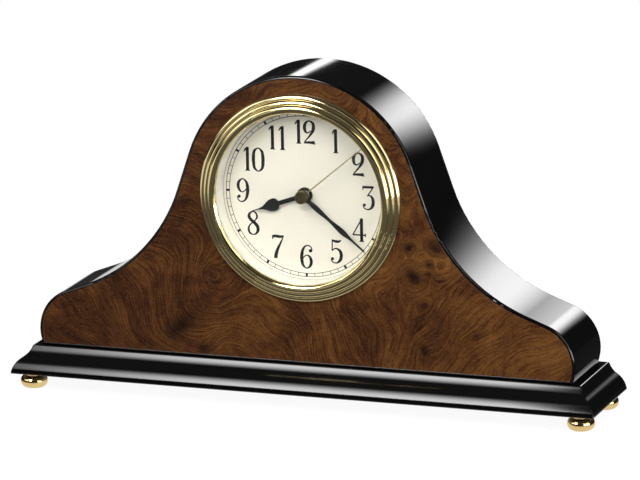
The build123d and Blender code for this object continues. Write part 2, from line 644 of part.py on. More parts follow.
# Bezel: reeded ring with a lip rolled over the glass and a skirt that goes into the case
REED_RUN = BEZEL_RADIUS - BEZEL_CREST_RADIUS
REED_RISE = BEZEL_CREST_RISE - BEZEL_EDGE_RISE
REED_STEP = hypot(REED_RUN, REED_RISE) / BEZEL_REEDS
with BuildPart() as bezel:
    with BuildSketch(TURN_PLANE):
        with BuildLine():
            valleys = [
                (BEZEL_RADIUS - REED_RUN * step / BEZEL_REEDS,
                 BODY_FRONT + BEZEL_EDGE_RISE + REED_RISE * step / BEZEL_REEDS)
                for step in range(BEZEL_REEDS + 1)
            ]
            for outer_valley, inner_valley in zip(valleys, valleys[1:]):
                SagittaArc(outer_valley, inner_valley, -REED_SAG_RATIO * REED_STEP)
            lip_edge = (LIP_RADIUS, BODY_FRONT + LIP_RISE)
            SagittaArc(valleys[-1], lip_edge, -LIP_ROLL_SAG)
            Polyline(
                lip_edge,
                (LIP_RADIUS, GLASS_FRONT),
                (SKIRT_BORE, GLASS_FRONT),
                (SKIRT_BORE, SKIRT_END),
                (SKIRT_RADIUS, SKIRT_END),
                (SKIRT_RADIUS, BODY_FRONT),
                (BEZEL_RADIUS, BODY_FRONT),
                valleys[0],
            )
        make_face()
    revolve(axis=TURN_AXIS)
keep(bezel.part, "bezel")

with BuildPart() as lens:
    with BuildSketch(face_plane(GLASS_BACK)):
        Circle(INSERT_RADIUS)
    extrude(amount=GLASS_THICKNESS)
    chamfer(lens.edges(), length=GLASS_CHAMFER)
keep(lens.part, "lens")

gasket_plane = face_plane(GLASS_BACK - GASKET_THICKNESS)
gasket = ring(gasket_plane, INSERT_RADIUS, INSERT_RADIUS - GASKET_WIDTH, GASKET_THICKNESS)
keep(gasket, "lens_gasket")

# Pale ring that holds the dial back from the glass, its wall drafted a little towards the front
with BuildPart() as dial_ring:
    with BuildSketch(TURN_PLANE):
        with BuildLine():
            Polyline(
                (DIAL_OPENING_RADIUS, DIAL_FACE),
                (INSERT_RADIUS, DIAL_FACE),
                (INSERT_RADIUS, GLASS_BACK - GASKET_THICKNESS),
                (DIAL_OPENING_RADIUS + DIAL_RING_DRAFT, GLASS_BACK - GASKET_THICKNESS),
                close=True,
            )
        make_face()
    revolve(axis=TURN_AXIS)
keep(dial_ring.part, "dial_ring")

BUSHING_BORE = HOUR_PIPE_RADIUS + PIPE_GAP
BUSHING_RADIUS = BUSHING_BORE + BUSHING_WALL
DIAL_HOLE_RADIUS = BUSHING_RADIUS + SCREW_GAP
dial = ring(face_plane(DIAL_BACK), INSERT_RADIUS, DIAL_HOLE_RADIUS, DIAL_THICKNESS)
keep(dial, "dial")

# Cup behind the dial, with two bosses that carry the movement's lugs
with BuildPart() as insert_cup:
    with BuildSketch(face_plane(MOVEMENT_FRONT)):
        Circle(INSERT_RADIUS)
        Circle(DIAL_HOLE_RADIUS, mode=Mode.SUBTRACT)
    extrude(amount=CUP_FLOOR)
    with BuildSketch(face_plane(CUP_END)):
        Circle(INSERT_RADIUS)
        Circle(INSERT_RADIUS - CUP_WALL, mode=Mode.SUBTRACT)
    extrude(amount=MOVEMENT_FRONT - CUP_END)
    with BuildSketch(depth_plane(LUG_DEPTH)):
        with Locations(*MOUNT_SCREW_SPOTS):
            Circle(MOUNT_BOSS_RADIUS)
    extrude(amount=LUG_DEPTH)
    with BuildSketch(depth_plane(LUG_DEPTH)):
        with Locations(*MOUNT_SCREW_SPOTS):
            Circle(MOUNT_SCREW_RADIUS + PRESS_GAP)
    extrude(amount=LUG_DEPTH - MOUNT_SCREW_STOP, mode=Mode.SUBTRACT)
keep(insert_cup.part, "insert_cup")

grip_front = SKIRT_END - GRIP_SETBACK
grip = ring(
    face_plane(grip_front - GRIP_WIDTH), CASE_BORE_RADIUS - PIVOT_GAP, INSERT_RADIUS + PRESS_GAP, GRIP_WIDTH
)
keep(grip, "bore_grip_ring")

mount_screw = headed_screw(
    depth_plane(SPLIT_DEPTH),
    MOUNT_SCREW_RADIUS,
    SPLIT_DEPTH - MOUNT_SCREW_STOP - PIVOT_END_GAP,
    MOUNT_SCREW_HEAD_RADIUS,
    MOUNT_SCREW_HEAD_HEIGHT,
)
with BuildPart() as mount_screws:
    with Locations(*[(across, 0, up) for across, up in MOUNT_SCREW_SPOTS]):
        add(mount_screw)
keep(mount_screws.part, "mount_screws")


def case_tray(back_depth, front_depth):
    """Outer block of a movement case half between two depths."""
    with BuildPart() as tray:
        with BuildSketch(depth_plane(back_depth, (0, MOVEMENT_MIDDLE))):
            RectangleRounded(MOVEMENT_WIDTH, MOVEMENT_HEIGHT, CASE_CORNER)
        extrude(amount=back_depth - front_depth)
    return tray.part


def train_room(back_depth, front_depth):
    """Room for the train between two depths."""
    with BuildPart() as room:
        with BuildSketch(depth_plane(back_depth, (0, TRAIN_MIDDLE))):
            Rectangle(BAY_LENGTH, TRAIN_HEIGHT)
        extrude(amount=back_depth - front_depth)
    return room.part


def battery_room(back_depth, front_depth):
    """Room for the battery between two depths."""
    with BuildPart() as room:
        with BuildSketch(depth_plane(back_depth, (0, BATTERY_DROP))):
            Rectangle(BAY_LENGTH, BAY_HEIGHT)
        extrude(amount=back_depth - front_depth)
    return room.part


# Front half of the movement case, with lugs, posts and the stud of the motion work
with BuildPart() as front_case:
    add(case_tray(SPLIT_DEPTH, 0))
    add(train_room(SPLIT_DEPTH, CASE_WALL), mode=Mode.SUBTRACT)
    add(battery_room(SPLIT_DEPTH, CASE_WALL), mode=Mode.SUBTRACT)
    with BuildSketch(depth_plane(SPLIT_DEPTH)):
        with Locations(*MOUNT_SCREW_SPOTS):
            Circle(LUG_WIDTH / 2)
        with Locations(*[(side * (MOVEMENT_WIDTH / 2 + LUG_MIDDLE) / 2, 0) for side in (-1, 1)]):
            Rectangle(LUG_MIDDLE - MOVEMENT_WIDTH / 2, LUG_WIDTH)
    extrude(amount=LUG_THICKNESS)
    with BuildSketch(depth_plane(SPLIT_DEPTH)):
        with Locations(*MOUNT_SCREW_SPOTS):
            Circle(MOUNT_SCREW_RADIUS + SCREW_GAP)
    extrude(amount=LUG_THICKNESS, mode=Mode.SUBTRACT)
    with BuildSketch(depth_plane(PLATE_DEPTH)):
        with Locations(*CASE_SCREW_SPOTS):
            Circle(CASE_POST_RADIUS)
    extrude(amount=PLATE_DEPTH - CASE_WALL)
    with BuildSketch(depth_plane(PLATE_DEPTH)):
        with Locations(*CASE_SCREW_SPOTS):
            Circle(CASE_SCREW_RADIUS + PRESS_GAP)
    extrude(amount=PLATE_DEPTH - CASE_SCREW_STOP, mode=Mode.SUBTRACT)
    with Locations(depth_plane(PLATE_DEPTH - PIVOT_END_GAP, MINUTE_SPOT)):
        Cylinder(MINUTE_POST_RADIUS, PLATE_DEPTH - PIVOT_END_GAP - CASE_WALL, align=SEATED)
    with BuildSketch(depth_plane(CASE_WALL)):
        Circle(BUSHING_RADIUS + PRESS_GAP)
    extrude(amount=CASE_WALL, mode=Mode.SUBTRACT)
    with BuildSketch(depth_plane(CASE_WALL, SET_SPOT)):
        Circle(SET_PIVOT_RADIUS + PIVOT_GAP)
    extrude(amount=PIVOT_SINK + PIVOT_END_GAP, mode=Mode.SUBTRACT)
keep(front_case.part, "movement_front_case")

# Rear half of the movement case, open to the back over the battery
PIVOTS = [
    (HAND_SPOT, SECONDS_ARBOR_RADIUS),
    (THIRD_SPOT, ARBOR_RADIUS),
    (INTERMEDIATE_SPOT, ARBOR_RADIUS),
    (ROTOR_SPOT, ROTOR_ARBOR_RADIUS),
]
SCREW_HEAD_SEAT = MOVEMENT_THICKNESS - CASE_SCREW_HEAD_HEIGHT
STATOR_BACK = STATOR_DEPTH + STATOR_THICKNESS
PLATE_SCREW_SPOTS = CORE_SCREW_SPOTS + BOARD_SCREW_SPOTS
with BuildPart() as rear_case:
    add(case_tray(MOVEMENT_THICKNESS, SPLIT_DEPTH))
    add(train_room(REAR_WALL_DEPTH, SPLIT_DEPTH), mode=Mode.SUBTRACT)
    add(battery_room(MOVEMENT_THICKNESS, SPLIT_DEPTH), mode=Mode.SUBTRACT)
    with BuildSketch(depth_plane(REAR_WALL_DEPTH)):
        with Locations(*CASE_SCREW_SPOTS):
            Circle(CASE_POST_RADIUS)
    extrude(amount=REAR_WALL_DEPTH - PLATE_BACK)
    with BuildSketch(depth_plane(REAR_WALL_DEPTH)):
        with Locations(*PLATE_SCREW_SPOTS):
            Circle(PLATE_POST_RADIUS)
    extrude(amount=REAR_WALL_DEPTH - STATOR_BACK)
    with BuildSketch(depth_plane(MOVEMENT_THICKNESS)):
        with Locations(*CASE_SCREW_SPOTS):
            Circle(CASE_SCREW_RADIUS + SCREW_GAP)
    extrude(amount=MOVEMENT_THICKNESS - PLATE_BACK, mode=Mode.SUBTRACT)
    with BuildSketch(depth_plane(MOVEMENT_THICKNESS)):
        with Locations(*CASE_SCREW_SPOTS):
            Circle(CASE_SCREW_HEAD_RADIUS + SCREW_GAP)
    extrude(amount=CASE_SCREW_HEAD_HEIGHT, mode=Mode.SUBTRACT)
    with BuildSketch(depth_plane(STATOR_BACK + PLATE_SCREW_GRIP + PIVOT_END_GAP)):
        with Locations(*PLATE_SCREW_SPOTS):
            Circle(PLATE_SCREW_RADIUS + PRESS_GAP)
    extrude(amount=PLATE_SCREW_GRIP + PIVOT_END_GAP, mode=Mode.SUBTRACT)
    for spot, radius in PIVOTS:
        with BuildSketch(depth_plane(PIVOT_END + PIVOT_END_GAP, spot)):
            Circle(radius + PIVOT_GAP)
        extrude(amount=PIVOT_SINK + PIVOT_END_GAP, mode=Mode.SUBTRACT)
    with BuildSketch(depth_plane(MOVEMENT_THICKNESS, SET_SPOT)):
        Circle(SET_SHAFT_RADIUS + PIVOT_GAP)
    extrude(amount=CASE_WALL, mode=Mode.SUBTRACT)
keep(rear_case.part, "movement_rear_case")

case_screw = headed_screw(
    depth_plane(SCREW_HEAD_SEAT),
    CASE_SCREW_RADIUS,
    SCREW_HEAD_SEAT - CASE_SCREW_STOP - PIVOT_END_GAP,
    CASE_SCREW_HEAD_RADIUS,
    CASE_SCREW_HEAD_HEIGHT,
)
with BuildPart() as movement_screws:
    with Locations(*[(across, 0, up) for across, up in CASE_SCREW_SPOTS]):
        add(case_screw)
keep(movement_screws.part, "movement_screws")

# Plate between the motion work and the train, clamped by the case screws
with BuildPart() as mid_plate:
    with BuildSketch(depth_plane(PLATE_BACK)):
        with Locations((0, TRAIN_MIDDLE)):
            Rectangle(BAY_LENGTH - 2 * SCREW_GAP, TRAIN_HEIGHT - 2 * SCREW_GAP)
        Circle(MINUTE_PIPE_RADIUS + PIPE_GAP, mode=Mode.SUBTRACT)
        for spot, radius in PIVOTS[1:]:
            with Locations(spot):
                Circle(radius + PIVOT_GAP, mode=Mode.SUBTRACT)
        with Locations(SET_SPOT):
            Circle(SET_SHAFT_RADIUS + PIVOT_GAP, mode=Mode.SUBTRACT)
        with Locations(*CASE_SCREW_SPOTS):
            Circle(CASE_SCREW_RADIUS + SCREW_GAP, mode=Mode.SUBTRACT)
    extrude(amount=PLATE_THICKNESS)
keep(mid_plate.part, "mid_plate")

# Bushing that guides the hour pipe through case, cup and dial
with BuildPart() as bushing:
    with BuildSketch(depth_plane(CASE_WALL)):
        Circle(BUSHING_RADIUS)
    extrude(amount=CASE_WALL - DIAL_DEPTH + BUSHING_PROUD)
    with BuildSketch(depth_plane(CASE_WALL + BUSHING_FLANGE_THICKNESS)):
        Circle(BUSHING_RADIUS + BUSHING_FLANGE)
    extrude(amount=BUSHING_FLANGE_THICKNESS)
    with BuildSketch(depth_plane(CASE_WALL + BUSHING_FLANGE_THICKNESS)):
        Circle(BUSHING_BORE)
    extrude(amount=CASE_WALL + BUSHING_FLANGE_THICKNESS - DIAL_DEPTH + BUSHING_PROUD, mode=Mode.SUBTRACT)
keep(bushing.part, "centre_bushing")

# Stepping motor: stator, coil core, bobbin and winding
with BuildPart() as stator:
    with BuildSketch(depth_plane(STATOR_BACK)):
        with Locations(((STATOR_LEFT + STATOR_RIGHT) / 2, ROTOR_SPOT[1])):
            Rectangle(STATOR_RIGHT - STATOR_LEFT, STATOR_BAR)
        with Locations(ROTOR_SPOT):
            Circle(STATOR_PAD_RADIUS)
        leg_foot = ROTOR_SPOT[1] - STATOR_BAR / 2
        leg_height = COIL_RISE + CORE_WIDTH / 2 - leg_foot
        for across, up in CORE_SCREW_SPOTS:
            with Locations((across, leg_foot + leg_height / 2)):
                Rectangle(STATOR_LEG, leg_height)
        with Locations(ROTOR_SPOT):
            Circle(MAGNET_RADIUS + ROTOR_HOLE_GAP, mode=Mode.SUBTRACT)
        with Locations(*CORE_SCREW_SPOTS):
            Circle(PLATE_SCREW_RADIUS + SCREW_GAP, mode=Mode.SUBTRACT)
    extrude(amount=STATOR_THICKNESS)
keep(stator.part, "stator")

with BuildPart() as coil_core:
    with BuildSketch(depth_plane(STATOR_DEPTH)):
        with Locations(((STATOR_LEFT + STATOR_RIGHT) / 2, COIL_RISE)):
            Rectangle(STATOR_RIGHT - STATOR_LEFT, CORE_WIDTH)
        with Locations(*CORE_SCREW_SPOTS):
            Circle(PLATE_SCREW_RADIUS + SCREW_GAP, mode=Mode.SUBTRACT)
    extrude(amount=STATOR_THICKNESS)
keep(coil_core.part, "coil_core")


def bobbin_plane(start):
    """Plane across the coil, a distance from the bobbin's left end, that faces right."""
    core_middle = MOVEMENT_FRONT - CORE_DEPTH - STATOR_THICKNESS / 2
    origin = (BOBBIN_LEFT + start, -core_middle, AXIS_Z + COIL_RISE)
    return Plane(origin=origin, x_dir=(0, 1, 0), z_dir=(1, 0, 0))


TUBE_DEPTH = STATOR_THICKNESS + 2 * (BOBBIN_FIT + BOBBIN_WALL)
TUBE_WIDTH = CORE_WIDTH + 2 * (BOBBIN_FIT + BOBBIN_WALL)
with BuildPart() as coil_bobbin:
    with BuildSketch(bobbin_plane(0)):
        Rectangle(TUBE_DEPTH, TUBE_WIDTH)
    extrude(amount=BOBBIN_LENGTH)
    for start in (0, BOBBIN_LENGTH - BOBBIN_FLANGE):
        with BuildSketch(bobbin_plane(start)):
            Circle(COIL_RADIUS)
        extrude(amount=BOBBIN_FLANGE)
    with BuildSketch(bobbin_plane(0)):
        Rectangle(STATOR_THICKNESS + 2 * BOBBIN_FIT, CORE_WIDTH + 2 * BOBBIN_FIT)
    extrude(amount=BOBBIN_LENGTH, mode=Mode.SUBTRACT)
keep(coil_bobbin.part, "coil_bobbin")

with BuildPart() as coil_winding:
    with BuildSketch(bobbin_plane(BOBBIN_FLANGE)):
        Circle(COIL_RADIUS - BOBBIN_WALL)
        Rectangle(TUBE_DEPTH, TUBE_WIDTH, mode=Mode.SUBTRACT)
    extrude(amount=BOBBIN_LENGTH - 2 * BOBBIN_FLANGE)
keep(coil_winding.part, "coil_winding")

# Circuit board with its crystal and chip
BOARD_SPOT = (BOARD_MIDDLE, BOARD_BOTTOM + BOARD_HEIGHT / 2)
with BuildPart() as circuit_board:
    with BuildSketch(depth_plane(STATOR_BACK)):
        with Locations(BOARD_SPOT):
            Rectangle(BOARD_WIDTH, BOARD_HEIGHT)
        with Locations(*BOARD_SCREW_SPOTS):
            Circle(PLATE_SCREW_RADIUS + SCREW_GAP, mode=Mode.SUBTRACT)
    extrude(amount=STATOR_THICKNESS)
keep(circuit_board.part, "circuit_board")

CRYSTAL_SPOT = (BOARD_LEFT + CRYSTAL_RADIUS + SCREW_GAP, BOARD_SPOT[1] - CRYSTAL_LENGTH / 2)
with BuildPart() as quartz_crystal:
    crystal_back = depth_plane(STATOR_DEPTH - CRYSTAL_RADIUS, CRYSTAL_SPOT)
    with Locations(Plane(origin=crystal_back.origin, z_dir=(0, 0, 1))):
        Cylinder(CRYSTAL_RADIUS, CRYSTAL_LENGTH, align=SEATED)
keep(quartz_crystal.part, "quartz_crystal")

CHIP_SPOT = (BOARD_LEFT + BOARD_WIDTH - CHIP_RADIUS - CHIP_INSET, BOARD_SPOT[1])
with BuildPart() as chip_cap:
    with Locations(depth_plane(STATOR_DEPTH, CHIP_SPOT)):
        Cone(CHIP_RADIUS, CHIP_RADIUS - CHIP_HEIGHT, CHIP_HEIGHT, align=SEATED)
keep(chip_cap.part, "chip_cap")

with BuildPart() as plate_screws:
    for across, up in CORE_SCREW_SPOTS:
        with Locations(depth_plane(STATOR_BACK + PLATE_SCREW_GRIP, (across, up))):
            Cylinder(PLATE_SCREW_RADIUS, PLATE_SCREW_GRIP + 2 * STATOR_THICKNESS, align=SEATED)
        with Locations(depth_plane(CORE_DEPTH, (across, up))):
            Cylinder(PLATE_SCREW_HEAD_RADIUS, PLATE_SCREW_HEAD_HEIGHT, align=SEATED)
    for across, up in BOARD_SCREW_SPOTS:
        with Locations(depth_plane(STATOR_BACK + PLATE_SCREW_GRIP, (across, up))):
            Cylinder(PLATE_SCREW_RADIUS, PLATE_SCREW_GRIP + STATOR_THICKNESS, align=SEATED)
        with Locations(depth_plane(STATOR_DEPTH, (across, up))):
            Cylinder(PLATE_SCREW_HEAD_RADIUS, PLATE_SCREW_HEAD_HEIGHT, align=SEATED)
keep(plate_screws.part, "plate_screws")

# Battery, lying across the bottom of the movement with its nub to the right
CELL_LENGTH = BATTERY_LENGTH - BATTERY_NUB_LENGTH
battery_origin = depth_plane(BATTERY_DEPTH, (-BATTERY_LENGTH / 2, BATTERY_DROP)).origin
with BuildPart() as battery:
    with Locations(Plane(origin=battery_origin, z_dir=(1, 0, 0))):
        Cylinder(BATTERY_RADIUS, CELL_LENGTH, align=SEATED)
    fillet(battery.edges().filter_by(GeomType.CIRCLE), radius=BATTERY_SHOULDER_ROUND)
    with Locations(Plane(origin=battery_origin + Vector(CELL_LENGTH, 0, 0), z_dir=(1, 0, 0))):
        Cylinder(BATTERY_NUB_RADIUS, BATTERY_NUB_LENGTH, align=SEATED)
keep(battery.part, "battery")


def contact_strip(side):
    """Bowed spring strip on a battery bay's end wall that reaches the battery's end."""
    wall = side * (BAY_LENGTH / 2 - PRESS_GAP - CONTACT_THICKNESS / 2)
    crown = side * (BATTERY_LENGTH / 2 + PRESS_GAP + CONTACT_THICKNESS / 2)
    depth = BATTERY_DEPTH - MOVEMENT_FRONT
    low = AXIS_Z + BATTERY_DROP - CONTACT_WIDTH / 2
    with BuildPart() as strip:
        with BuildSketch(Plane.XY.offset(low)):
            with BuildLine():
                Polyline(
                    (wall, depth - CONTACT_LENGTH / 2),
                    (wall, depth - CONTACT_BOW / 2),
                    (crown, depth),
                    (wall, depth + CONTACT_BOW / 2),
                    (wall, depth + CONTACT_LENGTH / 2),
                )
            trace(line_width=CONTACT_THICKNESS)
        extrude(amount=CONTACT_WIDTH)
    return strip.part


keep(contact_strip(1), "positive_contact")
keep(contact_strip(-1), "negative_contact")


def arbor(spot, back_depth, front_depth, radius):
    """Plain arbor between two depths."""
    with BuildPart() as pin:
        with Locations(depth_plane(back_depth, spot)):
            Cylinder(radius, back_depth - front_depth, align=SEATED)
    return pin.part


# Rotor and the train down to the centre wheel
ARBOR_FRONT = PLATE_DEPTH + PIVOT_END_GAP
MAGNET_BACK = MAGNET_LEVEL + MAGNET_LENGTH
ROTOR_LEAF_BACK = INTERMEDIATE_LEVEL + WHEEL_THICKNESS + LEVEL_GAP / 2
with BuildPart() as rotor_pinion:
    add(arbor(ROTOR_SPOT, PIVOT_END, ARBOR_FRONT, ROTOR_ARBOR_RADIUS))
    rotor_plane = depth_plane(ROTOR_LEAF_BACK, ROTOR_SPOT)
    rotor_leaves = gear_face(rotor_plane, PINION_LEAVES, ROTOR_MODULE, ROTOR_PHASE)
    extrude(rotor_leaves, amount=ROTOR_LEAF_BACK - MAGNET_BACK)
keep(rotor_pinion.part, "rotor_pinion")

rotor_magnet = ring(
    depth_plane(MAGNET_BACK, ROTOR_SPOT), MAGNET_RADIUS, ROTOR_ARBOR_RADIUS + PRESS_GAP, MAGNET_LENGTH
)
keep(rotor_magnet, "rotor_magnet")

SECONDS_BACK = SECONDS_LEVEL + WHEEL_THICKNESS
INTERMEDIATE_LEAF_FRONT = SECONDS_LEVEL - LEVEL_GAP / 4
INTERMEDIATE_BACK = INTERMEDIATE_LEVEL + WHEEL_THICKNESS
with BuildPart() as intermediate_wheel:
    add(arbor(INTERMEDIATE_SPOT, PIVOT_END, ARBOR_FRONT, ARBOR_RADIUS))
    leaf_plane = depth_plane(INTERMEDIATE_LEVEL, INTERMEDIATE_SPOT)
    leaves = gear_face(leaf_plane, PINION_LEAVES, SECONDS_MODULE, INTERMEDIATE_LEAF_PHASE)
    extrude(leaves, amount=INTERMEDIATE_LEVEL - INTERMEDIATE_LEAF_FRONT)
    rim_plane = depth_plane(INTERMEDIATE_BACK, INTERMEDIATE_SPOT)
    rim = gear_face(rim_plane, INTERMEDIATE_TEETH, ROTOR_MODULE, INTERMEDIATE_PHASE)
    extrude(rim, amount=WHEEL_THICKNESS)
keep(intermediate_wheel.part, "intermediate_wheel")

# Seconds wheel and pinion, pressed on a steel arbor that carries the seconds hand
SECONDS_LEAF_FRONT = THIRD_LEVEL - LEVEL_GAP / 4
with BuildPart() as seconds_wheel:
    extrude(
        gear_face(depth_plane(SECONDS_BACK), SECONDS_TEETH, SECONDS_MODULE, SECONDS_PHASE),
        amount=WHEEL_THICKNESS,
    )
    extrude(
        gear_face(depth_plane(SECONDS_LEVEL), PINION_LEAVES, TRAIN_MODULE, SECONDS_PHASE),
        amount=SECONDS_LEVEL - SECONDS_LEAF_FRONT,
    )
    with BuildSketch(depth_plane(SECONDS_BACK)):
        Circle(SECONDS_ARBOR_RADIUS + PRESS_GAP)
    extrude(amount=SECONDS_BACK - SECONDS_LEAF_FRONT, mode=Mode.SUBTRACT)
keep(seconds_wheel.part, "seconds_wheel")

SECONDS_ARBOR_TIP = CAP_BORE_DEPTH + PIVOT_END_GAP
keep(arbor(HAND_SPOT, PIVOT_END, SECONDS_ARBOR_TIP, SECONDS_ARBOR_RADIUS), "seconds_arbor")

THIRD_BACK = THIRD_LEVEL + WHEEL_THICKNESS
THIRD_LEAF_FRONT = CENTRE_LEVEL - LEVEL_GAP / 4
with BuildPart() as third_wheel:
    add(arbor(THIRD_SPOT, PIVOT_END, ARBOR_FRONT, ARBOR_RADIUS))
    extrude(
        gear_face(depth_plane(THIRD_LEVEL, THIRD_SPOT), PINION_LEAVES, CENTRE_MODULE, THIRD_LEAF_PHASE),
        amount=THIRD_LEVEL - THIRD_LEAF_FRONT,
    )
    extrude(
        gear_face(depth_plane(THIRD_BACK, THIRD_SPOT), THIRD_TEETH, TRAIN_MODULE, THIRD_PHASE),
        amount=WHEEL_THICKNESS,
    )
keep(third_wheel.part, "third_wheel")

CENTRE_BACK = CENTRE_LEVEL + WHEEL_THICKNESS
with BuildPart() as centre_wheel:
    extrude(
        gear_face(depth_plane(CENTRE_BACK), CENTRE_TEETH, CENTRE_MODULE, CENTRE_PHASE),
        amount=WHEEL_THICKNESS,
    )
    with BuildSketch(depth_plane(CENTRE_BACK)):
        Circle(MINUTE_PIPE_RADIUS + PIVOT_GAP)
    extrude(amount=WHEEL_THICKNESS, mode=Mode.SUBTRACT)
keep(centre_wheel.part, "centre_wheel")

# Minute pipe with the cannon pinion of the motion work
PIPE_BACK = CENTRE_BACK + PIVOT_END_GAP
CANNON_FRONT = MINUTE_LEVEL - LEVEL_GAP / 4
CANNON_BACK = MINUTE_LEVEL + WHEEL_THICKNESS + LEVEL_GAP / 4
NUT_FRONT = MINUTE_HAND_DEPTH - HAND_THICKNESS - HAND_NUT_HEIGHT
with BuildPart() as minute_pipe:
    with Locations(depth_plane(PIPE_BACK)):
        Cylinder(MINUTE_PIPE_RADIUS, PIPE_BACK - NUT_FRONT, align=SEATED)
    extrude(
        gear_face(depth_plane(CANNON_BACK), CANNON_TEETH, MOTION_MODULE, CANNON_PHASE),
        amount=CANNON_BACK - CANNON_FRONT,
    )
    with BuildSketch(depth_plane(PIPE_BACK)):
        Circle(MINUTE_PIPE_BORE)
    extrude(amount=PIPE_BACK - NUT_FRONT, mode=Mode.SUBTRACT)
keep(minute_pipe.part, "minute_pipe")

# Motion work: minute wheel on its stud, and the hour wheel with its pipe
MINUTE_BACK = MINUTE_LEVEL + WHEEL_THICKNESS
MINUTE_LEAF_FRONT = HOUR_LEVEL - LEVEL_GAP / 4
with BuildPart() as minute_wheel:
    extrude(
        gear_face(depth_plane(MINUTE_BACK, MINUTE_SPOT), MINUTE_TEETH, MOTION_MODULE, MINUTE_PHASE),
        amount=WHEEL_THICKNESS,
    )
    extrude(
        gear_face(depth_plane(MINUTE_LEVEL, MINUTE_SPOT), MINUTE_LEAVES, HOUR_MODULE, MINUTE_LEAF_PHASE),
        amount=MINUTE_LEVEL - MINUTE_LEAF_FRONT,
    )
    with BuildSketch(depth_plane(MINUTE_BACK, MINUTE_SPOT)):
        Circle(MINUTE_POST_RADIUS + PIVOT_GAP)
    extrude(amount=MINUTE_BACK - MINUTE_LEAF_FRONT, mode=Mode.SUBTRACT)
keep(minute_wheel.part, "minute_wheel")

HOUR_BACK = HOUR_LEVEL + WHEEL_THICKNESS
HOUR_PIPE_FRONT = HOUR_HAND_DEPTH - HAND_THICKNESS
with BuildPart() as hour_wheel:
    extrude(gear_face(depth_plane(HOUR_BACK), HOUR_TEETH, HOUR_MODULE, HOUR_PHASE), amount=WHEEL_THICKNESS)
    with Locations(depth_plane(HOUR_BACK)):
        Cylinder(HOUR_PIPE_RADIUS, HOUR_BACK - HOUR_PIPE_FRONT, align=SEATED)
    with BuildSketch(depth_plane(HOUR_BACK)):
        Circle(HOUR_PIPE_BORE)
    extrude(amount=HOUR_BACK - HOUR_PIPE_FRONT, mode=Mode.SUBTRACT)
keep(hour_wheel.part, "hour_wheel")

# Setting shaft with its pinion, and the fluted knob at the back
KNOB_FRONT = MOVEMENT_THICKNESS + KNOB_GAP
KNOB_BACK = KNOB_FRONT + KNOB_HEIGHT
SHAFT_FRONT = CASE_WALL + PIVOT_END_GAP
with BuildPart() as set_shaft:
    with Locations(depth_plane(KNOB_BACK, SET_SPOT)):
        Cylinder(SET_SHAFT_RADIUS, KNOB_BACK - SHAFT_FRONT, align=SEATED)
    with Locations(depth_plane(SHAFT_FRONT, SET_SPOT)):
        Cylinder(SET_PIVOT_RADIUS, SHAFT_FRONT - CASE_WALL + PIVOT_SINK, align=SEATED)
    extrude(
        gear_face(depth_plane(CANNON_BACK, SET_SPOT), SET_TEETH, MOTION_MODULE, SET_PHASE),
        amount=CANNON_BACK - CANNON_FRONT,
    )
keep(set_shaft.part, "set_shaft")

with BuildPart() as set_knob:
    with BuildSketch(depth_plane(KNOB_BACK, SET_SPOT)):
        Circle(KNOB_RADIUS)
        with PolarLocations(KNOB_RADIUS, KNOB_FLUTES):
            Circle(KNOB_FLUTE_RADIUS, mode=Mode.SUBTRACT)
    extrude(amount=KNOB_HEIGHT)
    chamfer(set_knob.faces().sort_by(Axis.Y)[-1].edges(), length=KNOB_ROUND)
    with BuildSketch(depth_plane(KNOB_BACK, SET_SPOT)):
        Circle(SET_SHAFT_RADIUS + PRESS_GAP)
    extrude(amount=KNOB_HEIGHT, mode=Mode.SUBTRACT)
keep(set_knob.part, "set_knob")

# Hour hand: round hub, straight arm and a spade with a fine tip
with BuildPart() as hour_hand:
    with BuildSketch(hand_plane(HOUR_HAND_DEPTH, HOUR_ANGLE)):
        Circle(HOUR_HUB_RADIUS)
        with BuildLine():
            arm_end = (HOUR_ARM_WIDTH / 2, HOUR_ARM_LENGTH)
            bulb_side = (HOUR_BULB_WIDTH / 2, HOUR_BULB_CENTRE)
            neck = (HOUR_NECK_WIDTH / 2, HOUR_NECK_RADIUS)
            tip = (HOUR_TIP_WIDTH / 2, HOUR_HAND_LENGTH)
            Polyline((0, 0), (HOUR_ARM_WIDTH / 2, 0), arm_end)
            Spline(arm_end, bulb_side, tangents=[(1, 0.3), (0, 1)])
            Spline(bulb_side, neck, tip, tangents=[(0, 1), (0, 1)])
            Line(tip, (0, HOUR_HAND_LENGTH))
            mirror(about=Plane.YZ)
        make_face()
        Circle(HOUR_PIPE_RADIUS + PRESS_GAP, mode=Mode.SUBTRACT)
    extrude(amount=HAND_THICKNESS)
keep(hour_hand.part, "hour_hand")

# Minute hand: round hub, a slender baluster and a needle end
with BuildPart() as minute_hand:
    with BuildSketch(hand_plane(MINUTE_HAND_DEPTH, MINUTE_ANGLE)):
        Circle(MINUTE_HUB_RADIUS)
        with BuildLine():
            root = (MINUTE_ROOT_WIDTH / 2, 0)
            needle = (MINUTE_NEEDLE_WIDTH / 2, MINUTE_NEEDLE_START)
            tip = (MINUTE_TIP_WIDTH / 2, MINUTE_HAND_LENGTH)
            Line((0, 0), root)
            Spline(
                root,
                (MINUTE_BELLY_WIDTH / 2, MINUTE_BELLY_CENTRE),
                (MINUTE_WAIST_WIDTH / 2, MINUTE_WAIST_CENTRE),
                (MINUTE_LEAF_WIDTH / 2, MINUTE_LEAF_CENTRE),
                needle,
                tangents=[(0, 1), (0, 1)],
            )
            Polyline(needle, tip, (0, MINUTE_HAND_LENGTH))
            mirror(about=Plane.YZ)
        make_face()
        Circle(MINUTE_PIPE_RADIUS + PRESS_GAP, mode=Mode.SUBTRACT)
    extrude(amount=HAND_THICKNESS)
keep(minute_hand.part, "minute_hand")

